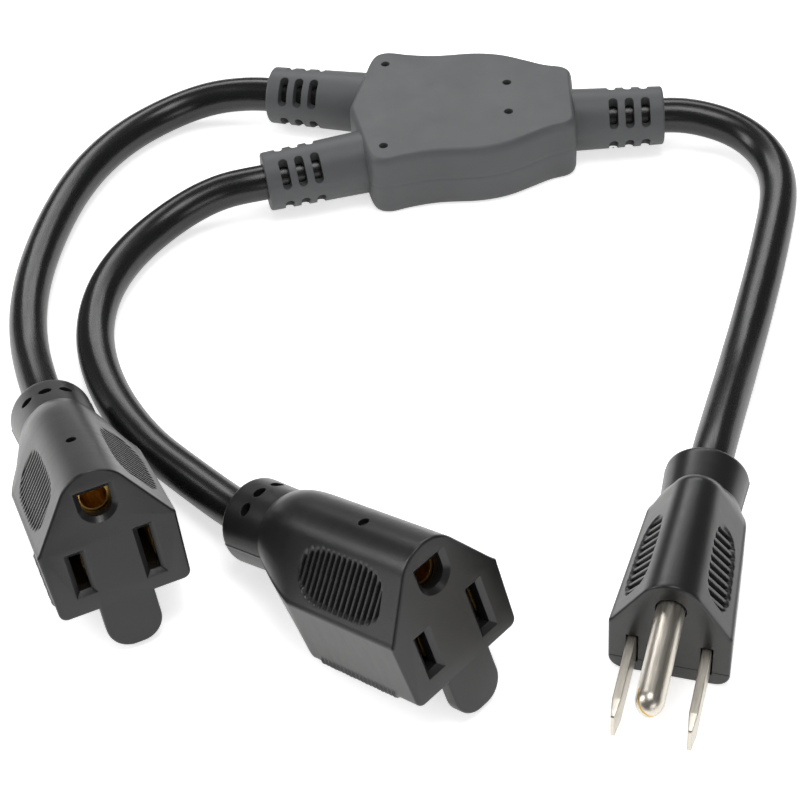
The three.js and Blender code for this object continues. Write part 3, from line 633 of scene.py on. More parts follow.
@dataclass(frozen=True)
class MouldedVinyl:
    """Soft vinyl from a mould: faint flow clouds, a fine grain and edges that are never sharp."""

    name: str
    colour: Colour
    roughness: float
    grain: float = 0.02
    grain_size: float = 0.35
    edge: float = 0.22
    clouds: float = 0.12
    cloud_scale: float = 0.09
    cloud_depth: float = 0.25
    fleck_share: float = 0.22
    scuff_stretch: Place = (0.5, 0.5, 1.8)
    scuff_scale: float = 0.35
    coat: float = 0.0
    coat_roughness: float = 0.28
    index: float = 1.53

    def make(self) -> bpy.types.Material:
        """The finish as a material.

        Returns:
            The new material.
        """
        paint = Paint(self.name)
        place = paint.own()
        cloud = paint.noise(place, self.cloud_scale, 3.0)
        fleck = paint.noise(place, 1.0 / self.grain_size, 2.0, 0.6)
        scuffed = paint.stretched(place, self.scuff_stretch)
        scuff = paint.noise(scuffed, self.scuff_scale, 4.0, 0.65)
        dark, light = tinted(self.colour, 1 - self.clouds), tinted(self.colour, 1 + self.clouds)
        colour = paint.mix(cloud.ramp(0.3, 0.7), dark, light)
        flecks = fleck.ramp(0.55, 0.8, 0.0, self.fleck_share)
        colour = paint.mix(flecks, colour, tinted(self.colour, 1.35))
        rough = self.roughness + (scuff - 0.5) * 0.16 + (fleck - 0.5) * 0.08
        normal = paint.soft_edges(self.edge)
        normal = paint.bump(fleck, self.grain, 1.0, normal)
        normal = paint.bump(cloud, self.cloud_depth, 0.35, normal)
        return paint.done(
            Base_Color=colour, Roughness=rough, Normal=normal, Coat_Weight=self.coat,
            Coat_Roughness=self.coat_roughness, Specular_IOR_Level=0.5, IOR=self.index,
        )


@dataclass(frozen=True)
class ExtrudedJacket:
    """Glossy extruded vinyl: hairlines along the cord and slow waves from the cores beneath."""

    name: str
    colour: Colour
    roughness: float
    hair_scale: float = 2.6
    hair_stretch: Place = (0.05, 1.0, 1.0)
    hair_depth: float = 0.012
    wave_stretch: Place = (0.06, 0.2, 0.2)
    wave_depth: float = 0.35
    dust_scale: float = 2.2
    index: float = 1.53

    def make(self) -> bpy.types.Material:
        """The finish as a material; "own" holds the length along the cord and the way round it.

        Returns:
            The new material.
        """
        paint = Paint(self.name)
        place = paint.own()
        hair = paint.noise(paint.stretched(place, self.hair_stretch), self.hair_scale, 3.0, 0.6)
        wave = paint.noise(paint.stretched(place, self.wave_stretch), 1.0, 2.0)
        dust = paint.noise(paint.spot(), self.dust_scale, 3.0, 0.7)
        dark, light = tinted(self.colour, 0.85), tinted(self.colour, 1.2)
        colour = paint.mix(wave.ramp(0.35, 0.65), dark, light)
        rough = self.roughness + (hair - 0.5) * 0.12 + dust.ramp(0.55, 0.8, 0.0, 0.1)
        normal = paint.bump(hair, self.hair_depth, 1.0)
        normal = paint.bump(wave, self.wave_depth, 0.4, normal)
        return paint.done(Base_Color=colour, Roughness=rough, Normal=normal, IOR=self.index)


@dataclass(frozen=True)
class NickelPlate:
    """Nickel plate on drawn brass: streaks along the prong, and on the pin a bare brass seam."""

    name: str
    colour: Colour
    roughness: float
    seam_height: Optional[float] = None
    seam_start: float = 0.0
    seam_turn: float = 52.0
    seam_half: float = 0.22
    seam_blur: float = 0.1
    streak_stretch: Place = (2.2, 2.2, 0.12)
    streak_depth: float = 0.015
    edge: float = 0.12
    seam_colour: Colour = (0.7, 0.42, 0.08, 1.0)
    stain_colour: Colour = (0.5, 0.42, 0.3, 1.0)

    def make(self) -> bpy.types.Material:
        """The finish as a material.

        Returns:
            The new material.
        """
        paint = Paint(self.name)
        place = paint.own()
        streak = paint.noise(paint.stretched(place, self.streak_stretch), 2.0, 4.0, 0.65)
        stain = paint.noise(place, 0.5, 3.0, 0.6)
        colour = paint.mix(streak.ramp(0.35, 0.7), tinted(self.colour, 0.82), self.colour)
        colour = paint.mix(stain.ramp(0.55, 0.85, 0.0, 0.3), colour, self.stain_colour)
        height = streak
        if self.seam_height is not None:
            across, up, along = paint.axes(place)
            turn = math.radians(self.seam_turn)
            away = across * math.cos(turn) + (up - self.seam_height) * math.sin(turn)
            line = abs(away).ramp(self.seam_half, self.seam_half - self.seam_blur)
            line = line * along.above(self.seam_start)
            colour = paint.mix(line, colour, self.seam_colour)
            height = streak - line * 6.0
        rough = self.roughness + (streak - 0.5) * 0.2
        normal = paint.bump(height, self.streak_depth, 1.0, paint.soft_edges(self.edge))
        return paint.done(Base_Color=colour, Roughness=rough, Metallic=1.0, Normal=normal)


@dataclass(frozen=True)
class StampedBrass:
    """Rolled and stamped brass, a little tarnished in patches."""

    name: str
    colour: Colour = (0.72, 0.45, 0.12, 1.0)
    tarnish: Colour = (0.4, 0.22, 0.06, 1.0)
    patch_scale: float = 0.4
    roll_scale: float = 1.4
    roll_depth: float = 0.01
    edge: float = 0.1

    def make(self) -> bpy.types.Material:
        """The finish as a material.

        Returns:
            The new material.
        """
        paint = Paint(self.name)
        place = paint.spot()
        patch = paint.noise(place, self.patch_scale, 4.0, 0.6)
        roll = paint.noise(paint.stretched(place, (1.0, 1.0, 6.0)), self.roll_scale, 3.0)
        colour = paint.mix(patch.ramp(0.4, 0.75), self.colour, self.tarnish)
        normal = paint.bump(roll, self.roll_depth, 1.0, paint.soft_edges(self.edge))
        return paint.done(
            Base_Color=colour, Roughness=0.28 + patch * 0.2, Metallic=1.0, Normal=normal
        )


@dataclass(frozen=True)
class PlainPlastic:
    """Nylon inserts and wire insulation: even colour, a soft sheen and slight unevenness."""

    name: str
    colour: Colour
    roughness: float = 0.45
    cloud_scale: float = 0.3
    grain_scale: float = 3.0
    grain_depth: float = 0.015
    edge: float = 0.15

    def make(self) -> bpy.types.Material:
        """The finish as a material.

        Returns:
            The new material.
        """
        paint = Paint(self.name)
        place = paint.spot()
        cloud = paint.noise(place, self.cloud_scale, 3.0)
        grain = paint.noise(place, self.grain_scale, 2.0)
        colour = paint.mix(cloud, tinted(self.colour, 0.85), tinted(self.colour, 1.1))
        normal = paint.bump(grain, self.grain_depth, 1.0, paint.soft_edges(self.edge))
        return paint.done(
            Base_Color=colour, Roughness=self.roughness + (cloud - 0.5) * 0.15, Normal=normal
        )


@dataclass(frozen=True)
class Profile:
    """A connector's section: flat bottom, upright sides, slanted flanks and an arched top."""

    half_width: float
    bottom_half: float
    bottom: float
    corner: float
    shoulder: float
    arch_half: float
    arch_base: float
    top: float
    shoulder_radius: float = 0.9
    flank_inset: float = 0.7
    flank_rise: float = 0.8

    def flank(self) -> tuple[Array, Array]:
        """The lower and the upper end of the right flank's straight part."""
        start = np.array([self.half_width - self.flank_inset, self.shoulder + self.flank_rise])
        return start, np.array([self.arch_half, self.arch_base])

    def outline(self, count: int) -> Array:
        """The closed outline, anticlockwise.

        The flanks' straight parts are carried on to where they meet, and the arch is the arc that
        touches both and reaches the given top.

        Args:
            count: how many points it has.

        Returns:
            The points, spaced evenly.
        """
        start, end = self.flank()
        slope = (end[1] - start[1]) / (end[0] - start[0])
        apex = end[1] - slope * end[0]
        half = math.atan2(start[0] - end[0], end[1] - start[1])
        radius = (apex - self.top) / (1 / math.sin(half) - 1)
        side_top = start[1] + slope * (self.half_width - start[0])
        right = [
            (self.bottom_half, self.bottom, self.corner),
            (self.half_width, side_top, self.shoulder_radius),
        ]
        left = [(-x, y, r) for x, y, r in reversed(right)]
        corners = [(0.0, self.bottom, 0.0), *right, (0.0, apex, radius), *left]
        return even(rounded(corners, 24), count)

    def inner(self, wall: float, count: int = 72) -> Array:
        """The outline drawn in by a wall's thickness."""
        outline = self.outline(count)
        return outline - outward(outline) * wall


@dataclass(frozen=True)
class Grip:
    """Finger slits sunk into both flanks, inside a leaf-shaped dip."""

    front: float
    count: int
    pitch: float
    depth: float
    dip: float
    half_height: float
    slant: float
    land: float = 0.5
    wall: float = 0.4
    shore: float = 0.22

    @property
    def back(self) -> float:
        """Where the last slit ends, behind the face."""
        return self.front + self.count * self.pitch

    def sink(self, across: Array, along: Array) -> Array:
        """How deep the flank lies at a place.

        Args:
            across: height along the flank from its middle.
            along: distance behind the face.

        Returns:
            The depth: a smooth leaf, rounder towards the face, times a wave that dips once a pitch.
        """
        share = (along - self.front) / (self.back - self.front)
        leaf = np.clip(1 - np.abs(2 * share - 0.95) ** 4, 0, 1) ** 0.45 * self.half_height
        inside = smooth_step((leaf - np.abs(across)) / (self.shore * self.half_height))
        inside *= (share > 0) & (share < 1)
        phase = (along - self.front + self.slant * across) / self.pitch
        wave = 0.5 + 0.5 * np.cos(2 * math.pi * phase)
        slit = smooth_step((wave - self.land) / self.wall + 0.5)
        return inside * (self.dip + self.depth * slit)


@dataclass(frozen=True)
class Serration:
    """Small teeth along the lower edges of the sides, up to a reach from the corner."""

    front: float
    back: float
    pitch: float
    height: float
    reach: float = 2.2
    fade: float = 0.8


@dataclass
class Connector:
    """A moulded outlet or plug in its own frame: X right, Y up, Z out of its face.

    Attributes:
        place: plan position of the face's middle, and its heading in degrees.
        tilt: how far the face looks up, in radians.
        lift: how high the frame's origin lies.
    """

    name: str
    profile: Profile
    grip: Grip
    length: float
    straight: float
    neck_start: float
    neck_radius: float
    waist_radius: float
    neck_height: float
    taper: float
    low_power: float
    ridge_power: float
    place: Place
    tilt: float
    lift: float
    serration: Optional[Serration] = None
    face_edge: float = 0.45
    neck_edge: float = 1.0
    around: int = 260
    height_taper: float = 0.4
    seat_clearance: float = 0.08
    bore_depth: float = 5.0
    seam_height: float = 0.12
    seam_width: float = 0.35
    seam_inset: float = 0.15

    @property
    def middle(self) -> float:
        """Half way up the section."""
        return (self.profile.bottom + self.profile.top) / 2

    def stance(self) -> Array:
        """Where the connector's frame lies in the part's frame."""
        x, y, heading = self.place
        turn, level = math.radians(heading), math.cos(self.tilt)
        out = Vector((math.cos(turn) * level, math.sin(turn) * level, math.sin(self.tilt)))
        right = Vector((0, 0, 1)).cross(out).normalized()
        return frame_matrix(right, out.cross(right), out, Vector((x, y, self.lift)))

    def exit(self) -> tuple[Array, Array]:
        """The middle of the neck's end and the way its cord leaves."""
        matrix = self.stance()
        end = matrix[:3, :3] @ [0, self.neck_height, -self.length] + matrix[:3, 3]
        return end, -matrix[:3, 2]

    def stations(self) -> Array:
        """Places of the rings from the neck's end to the face, closest at edges and slits.

        Returns:
            The places along Z, in rising order.
        """
        back_in, _ = fillet(self.neck_edge)
        front_in, _ = fillet(self.face_edge, 5)
        fine = self.grip.pitch / 11
        return np.unique(np.round(np.concatenate([
            -self.length + back_in,
            np.arange(-self.length + self.neck_edge, -self.neck_start, 0.55),
            np.arange(-self.neck_start, -self.grip.back, 0.4),
            np.arange(-self.grip.back - 0.4, -self.grip.front + 0.4, fine),
            np.arange(-self.grip.front + 0.4, -self.face_edge, 0.6),
            -front_in,
        ]), 4))

    def surface(self, z: Array) -> Array:
        """The rings of the outer form.

        The profile narrows a little behind the face and is drawn towards a round neck by a power of
        the way along the blend, a higher one for the ridge, which so stays high until the neck.
        Each point then moves along the ring's normal: inwards by the finger slits and by the
        quarter circles of both edges, outwards by the seam and the teeth.

        Args:
            z: where the rings lie, from the neck's end to the face.

        Returns:
            The points, by ring and by their place round it.
        """
        base = self.profile.outline(self.around)
        back = -z[:, None]
        share = 1 - self.taper * np.clip(back, 0, self.straight) / self.straight
        x = base[None, :, 0] * share
        share_up = 1 - self.height_taper * (1 - share)
        y = self.neck_height + (base[None, :, 1] - self.neck_height) * share_up
        middle = self.middle
        blend = np.clip((back - self.straight) / (self.neck_start - self.straight), 0, 1)
        rise = smooth_step((y - middle) / (self.profile.top - middle))
        held = blend ** (self.low_power + (self.ridge_power - self.low_power) * rise)
        flare = np.clip((back - self.neck_start) / (self.length - self.neck_start), 0, 1)
        radius = self.waist_radius + (self.neck_radius - self.waist_radius) * flare
        angle = np.arctan2(y - middle, x)
        x = x + (radius * np.cos(angle) - x) * held
        y = y + (self.neck_height + radius * np.sin(angle) - y) * held
        ring = np.stack([x, y], axis=-1)
        normal = outward(ring)
        inward = self.grip_depth(base, back) - self.teeth(base, back) - self.seam(base)[None]
        front = np.clip(1 - back / self.face_edge, 0, 1)
        rear = np.clip(1 - (self.length - back) / self.neck_edge, 0, 1)
        inward = inward + self.face_edge * (1 - np.sqrt(1 - front**2))
        inward = inward + self.neck_edge * (1 - np.sqrt(1 - rear**2))
        ring = ring - normal * inward[..., None]
        return np.dstack([ring, np.broadcast_to(z[:, None], ring.shape[:2])])

    def grip_depth(self, base: Array, back: Array) -> Array:
        """How deep the finger slits lie.

        Args:
            base: the section's points.
            back: how far behind the face the rings lie, one a row.

        Returns:
            The depth at each point of each ring.
        """
        start, end = self.profile.flank()
        along = (end - start) / np.linalg.norm(end - start)
        away = np.stack([np.abs(base[:, 0]), base[:, 1]], axis=1) - (start + end) / 2
        across = away @ along
        upper = base[:, 1] > self.profile.shoulder
        return self.grip.sink(across[None], back) * upper[None]

    def seam(self, base: Array) -> Array:
        """How far the mould's parting seam stands out at each point, along both shoulders."""
        corner = np.array([self.profile.half_width - self.seam_inset, self.profile.shoulder])
        away = np.hypot(np.abs(base[:, 0]) - corner[0], base[:, 1] - corner[1])
        return self.seam_height * smooth_step(1.3 - away / self.seam_width)

    def teeth(self, base: Array, back: Array) -> Array:
        """How far the teeth under the sides stand out: a triangle wave, faded in and out.

        Args:
            base: the section's points.
            back: how far behind the face the rings lie, one a row.

        Returns:
            The height at each point of each ring.
        """
        if self.serration is None:
            return np.zeros((len(back), len(base)))
        row = self.serration
        side = np.abs(base[:, 0]) - self.profile.bottom_half
        away = np.hypot(side, base[:, 1] - self.profile.bottom)
        near = smooth_step((row.reach - away) / row.fade)
        wave = np.abs(((back - row.front) / row.pitch) % 1 - 0.5) * 2
        inside = smooth_step((back - row.front) / row.fade)
        inside = inside * smooth_step((row.back - back) / row.fade)
        return (row.height * wave * inside) * near[None]

    def room(self, wall: float, front: float, back: float) -> Shell:
        """The hollow behind the face, which closes to a bore through the neck.

        Args:
            wall: how thick the shell is left.
            front: where the hollow starts.
            back: where it starts to close.

        Returns:
            The hollow as a closed surface.
        """
        outline = self.profile.inner(wall)
        angle = np.arctan2(outline[:, 1] - self.middle, outline[:, 0])
        round_end = np.stack([np.cos(angle), np.sin(angle)], axis=1) * WIRE_BORE
        round_end[:, 1] += self.neck_height
        return Shell.skin([
            lifted(round_end, -self.length - 1), lifted(round_end, -self.neck_start - 2),
            lifted(outline, back), lifted(outline, front),
        ])

    def shell(self) -> Shell:
        """The outer form with the seat of its cord."""
        seat = bar(
            CORD_RADIUS + self.seat_clearance, -self.length - 1, -self.length + self.bore_depth,
            (0.0, self.neck_height), 48,
        )
        return Shell.skin(self.surface(self.stations())).cut(seat)


@dataclass
class Outlet(Connector):
    """An outlet: slots with tapered mouths, a thumb tab under the face and holes round the neck."""

    face_wall: float = 3.0
    shell_wall: float = 1.5
    room_back: float = 26.3
    tab_reach: float = 17.1
    tab_half: float = 5.1
    tab_thickness: float = 3.0
    fairing_length: float = 13.0
    blade_offset: float = 6.35
    ground_offset: float = 11.9
    slot_width: float = 2.1
    slot_heights: tuple[float, float] = (7.0, 8.6)
    chamfer: float = 0.9
    ground_radius: float = 2.7
    ground_top: float = 2.3
    neck_holes: tuple[float, ...] = (-30.0, 0.0, 30.0, 150.0, 180.0, 210.0)
    neck_hole_inset: float = 5.6
    neck_hole_half: tuple[float, float] = (1.35, 1.05)
    neck_hole_depth: float = 1.6
    ridge_hole: float = 14.8
    ridge_hole_radius: float = 1.0
    slot_corner: float = 0.12
    tab_corner: float = 4.4
    tab_edge: float = 0.5
    tab_overlap: float = 2.0
    fairing_inset: float = 1.4
    fairing_stop: float = 3.4
    fairing_corner: float = 1.1
    fairing_overlap: float = 1.2

    def mouth(self, narrow: Array, wide: Array) -> Shell:
        """An opening that widens towards the face."""
        return Shell.skin([
            lifted(narrow, -self.face_wall - 0.6), lifted(narrow, -self.chamfer),
            lifted(wide, 0.0), lifted(wide, 0.6),
        ])

    def slot(self, side: int, height: float) -> Shell:
        """One blade's slot.

        Args:
            side: -1 for the left one, 1 for the right one.
            height: its height.

        Returns:
            A closed surface in the connector's frame.
        """
        narrow, wide = (
            bar_outline(
                side * self.blade_offset, self.slot_width / 2 + grow, height / 2 + grow,
                self.slot_corner, 3,
            )
            for grow in (0.0, self.chamfer)
        )
        return self.mouth(narrow, wide)

    def ground(self) -> Shell:
        """The ground opening, round below and flat on top.

        Returns:
            A closed surface in the connector's frame.
        """
        angle = np.linspace(math.pi, 2 * math.pi, 33)
        unit = np.stack([np.cos(angle), np.sin(angle)], axis=1)
        outlines = []
        for grow in (0.0, self.chamfer):
            radius = self.ground_radius + grow
            top = self.ground_offset + self.ground_top + grow
            bowl = unit * radius + [0.0, self.ground_offset]
            outlines.append(np.vstack([bowl, [[radius, top], [-radius, top]]]))
        return self.mouth(*outlines)

    def tab(self) -> Shell:
        """The thumb tab with rolled edges.

        Returns:
            A closed surface in the connector's frame.
        """
        top = self.profile.bottom + self.tab_overlap
        low = -self.tab_reach
        outline = even(rounded([
            (-self.tab_half, low, self.tab_corner), (self.tab_half, low, self.tab_corner),
            (self.tab_half, top, 0.0), (-self.tab_half, top, 0.0),
        ], 24), 160)
        normal = outward(outline)
        edge = list(zip(*fillet(self.tab_edge, 6)))
        rows = [(-self.tab_thickness + back, inward) for back, inward in edge]
        rows += [(-back, inward) for back, inward in reversed(edge)]
        return Shell.skin([lifted(outline - normal * inward, z) for z, inward in rows])

    def fairing(self) -> Shell:
        """The ramp behind the tab: its depth grows as the square of the way to the tab.

        Returns:
            A closed surface in the connector's frame.
        """
        share = np.linspace(0, 1, 24)
        z = -self.fairing_length + (self.fairing_length - self.tab_thickness / 2) * share
        drop = (self.tab_reach + self.profile.bottom - self.fairing_stop) * share**2
        half, corner = self.tab_half - self.fairing_inset, self.fairing_corner
        top = self.profile.bottom + self.fairing_overlap
        rings = []
        for depth, place in zip(drop, z):
            low = self.profile.bottom - depth - 0.02
            section = rounded([
                (-half, low, corner), (half, low, corner), (half, top, 0.0), (-half, top, 0.0),
            ], 8)
            rings.append(lifted(even(section, 80), place))
        return Shell.skin(rings)

    def holes(self) -> Shell:
        """The oval holes at the top and the bottom of the neck.

        Returns:
            The rods to be cut out, as one surface.
        """
        oval = circle(1.0, 28) * np.array(self.neck_hole_half)
        rod = prism(oval, self.waist_radius - self.neck_hole_depth, self.neck_radius + 1)
        made = []
        for turn in self.neck_holes:
            spin = np.array(Matrix.Rotation(math.radians(turn), 4, "Z"))
            spin[:3, 3] = (0, self.neck_height, -self.length + self.neck_hole_inset)
            made.append(rod.moved(spin @ UPRIGHT))
        return together(made)

    def body(self) -> Shell:
        """The whole moulded body.

        Returns:
            A closed surface in the connector's frame.
        """
        shell = self.shell().joined(self.tab(), self.fairing())
        low, high = self.slot_heights
        shell = shell.cut(self.room(self.shell_wall, -self.face_wall, -self.room_back))
        shell = shell.cut(self.slot(-1, low) + self.slot(1, high) + self.ground(), self.holes())
        upright = UPRIGHT.copy()
        upright[2, 3] = -self.ridge_hole
        top = self.profile.top
        vent = bar(self.ridge_hole_radius, top - 1, top + 1, count=32).moved(upright)
        return shell.cut(vent)

    def dress(self, vinyl: bpy.types.Material) -> list[bpy.types.Object]:
        """Shows the outlet's body in place of its CAD node."""
        node = f"{self.name}_body"
        name = f"{self.name}_moulding"
        return [show(self.body(), name, vinyl, [node], self.stance())]


@dataclass
class Plug(Connector):
    """A plug with two flat blades and a round ground pin."""

    face_wall: float = 3.0
    shell_wall: float = 2.8
    room_back: float = 19.6
    blade_offset: float = 6.35
    ground_offset: float = 11.9
    blade_thickness: float = 1.52
    blade_height: float = 6.35
    blade_reach: float = 16.6
    root: float = 15.5
    pin_radius: float = 2.4
    pin_reach: float = 21.4
    dome: float = 3.0
    parting: float = -2.9
    parting_depth: float = 0.12
    parting_width: float = 0.14
    blade_corner: float = 0.16
    pin_clearance: float = 0.25
    blade_clearance: float = 0.3
    tip: float = 3.4

    def blade(self, side: int) -> Shell:
        """A blade: a flat bar whose tip is bevelled on its two wide faces and its two edges.

        Each row of the tip holds its height, the share of the thickness that is left there, and how
        far each edge is drawn in.

        Args:
            side: 1 for the hot blade, -1 for the neutral one.

        Returns:
            A closed surface in the connector's frame.
        """
        start = self.blade_reach - self.tip
        rows = [(-self.root, 1.0, 0.0), (start - 0.15, 1.0, 0.0), (start, 0.98, 0.02)]
        rows += [(start + self.tip * s, 1 - 0.55 * s, 0.5 * s) for s in (0.35, 0.7, 0.94)]
        rows += [(self.blade_reach, 0.3, 0.72)]
        return Shell.skin([
            lifted(bar_outline(
                side * self.blade_offset, self.blade_thickness / 2 * thick,
                self.blade_height / 2 - drawn, self.blade_corner * thick, 5,
            ), z)
            for z, thick, drawn in rows
        ])

    def pin(self) -> Shell:
        """The ground pin: round, with a domed tip.

        Returns:
            A closed surface in the connector's frame.
        """
        angle = np.linspace(0, math.pi / 2, 22)[:-1]
        heights = self.pin_reach - self.dome + self.dome * np.sin(angle)
        dome = np.stack([self.pin_radius * np.cos(angle), heights], axis=1)
        stem = [[self.pin_radius, -self.root], [self.pin_radius, 0.0]]
        shell = lathe(np.vstack([stem, dome, [[0.12, self.pin_reach]]]), 72)
        shell.points[:, 1] += self.ground_offset
        return shell

    def prong_holes(self) -> Shell:
        """Clearance for the prongs in the face.

        Returns:
            The bars to be cut out, as one surface.
        """
        low, high = -self.face_wall - 1, 1.0
        radius = self.pin_radius + self.pin_clearance
        holes = [bar(radius, low, high, (0.0, self.ground_offset), 56)]
        half_width = self.blade_thickness / 2 + self.blade_clearance
        half_height = self.blade_height / 2 + self.blade_clearance
        for x in (-self.blade_offset, self.blade_offset):
            holes.append(block(
                [x - half_width, -half_height, low], [x + half_width, half_height, high]
            ))
        return together(holes)

    def body(self) -> Shell:
        """The whole moulded body.

        Returns:
            A closed surface in the connector's frame.
        """
        hollow = self.room(self.shell_wall, -self.face_wall, -self.room_back)
        half = self.profile.half_width + 1
        parting = block(
            [-half, self.parting, -self.parting_depth], [half, self.parting + self.parting_width, 1]
        )
        return self.shell().cut(hollow, self.prong_holes(), parting)

    def dress(
        self, vinyl: bpy.types.Material, nickel: bpy.types.Material, seamed: bpy.types.Material
    ) -> list[bpy.types.Object]:
        """Shows the plug's body and prongs in place of their CAD nodes.

        Args:
            vinyl: the body's finish.
            nickel: the blades' finish.
            seamed: the pin's finish.

        Returns:
            The new pieces.
        """
        stance = self.stance()
        rows = (
            (self.body(), "plug_moulding", vinyl, Slot.CONNECTOR, "plug_body", 34),
            (self.blade(1), "plug_hot_prong", nickel, Slot.NICKEL, "plug_hot_blade", 20),
            (self.blade(-1), "plug_neutral_prong", nickel, Slot.NICKEL, "plug_neutral_blade", 20),
            (self.pin(), "plug_round_prong", seamed, Slot.NICKEL, "plug_ground_pin", 40),
        )
        return [
            show(shell, name, finish, [node], stance, crease)
            for shell, name, finish, slot, node, crease in rows
        ]


@dataclass(frozen=True)
class Relief:
    """A strain relief along X from its root, ringed by windows that show the cord."""

    length: float
    root_diameter: float = 14.0
    tip_diameter: float = 13.1
    rings: int = 3
    per_ring: int = 4
    pitch: float = 3.6
    first: float = 4.2
    window: float = 2.0
    arc: float = 62.0
    bore: float = 4.03
    edge: float = 0.5
    overlap: float = 3.0
    bore_length: float = 16.5

    def form(self) -> Shell:
        """The tapered tube, solid, along Z.

        Returns:
            A closed surface in the leg's frame.
        """
        back, inward = fillet(self.edge, 6)
        tip, root = self.tip_diameter / 2, self.root_diameter / 2
        rows = [(root, -self.overlap)]
        rows += [(root + (tip - root) * s, self.length * s) for s in np.linspace(0, 0.97, 12)]
        rows += [
            (tip - i, self.length - b) for b, i in zip(back[::-1], inward[::-1])
            if self.length - b > rows[-1][1]
        ]
        return lathe(np.array(rows), 96)

    def windows(self) -> Shell:
        """All the windows: long holes with round ends, wrapped round the tube.

        Returns:
            The windows to be cut out, as one surface.
        """
        half, arc = self.window / 2, math.radians(self.arc) / 2
        mean = (self.root_diameter + self.tip_diameter) / 4
        slim = half / mean
        angle = np.linspace(-math.pi / 2, math.pi / 2, 9)
        side = np.linspace(-1, 1, 7)[1:-1] * (arc - slim)
        rise, level = half * np.sin(angle), np.full(len(side), half)
        along = np.concatenate([rise, level, -rise, -level])
        end = arc - slim + slim * np.cos(angle)
        turn = np.concatenate([end, side[::-1], -end, side])
        made = []
        for ring in range(self.rings):
            z = self.length - self.first - ring * self.pitch
            for i in range(self.per_ring):
                way = 2 * math.pi * (i + 0.5) / self.per_ring + turn
                made.append(Shell.skin([
                    np.stack([r * np.cos(way), r * np.sin(way), z + along], axis=1)
                    for r in (self.bore - 0.35, self.root_diameter / 2 + 0.8)
                ]))
        return together(made)

    def hollow(self, depth: float) -> Shell:
        """The bore for the cord, and a finer one for its wires behind it."""
        start = self.length - self.bore_length
        cord = bar(self.bore, start, self.length + 1, count=64)
        return cord + bar(WIRE_BORE, -depth - 2, start - 1)


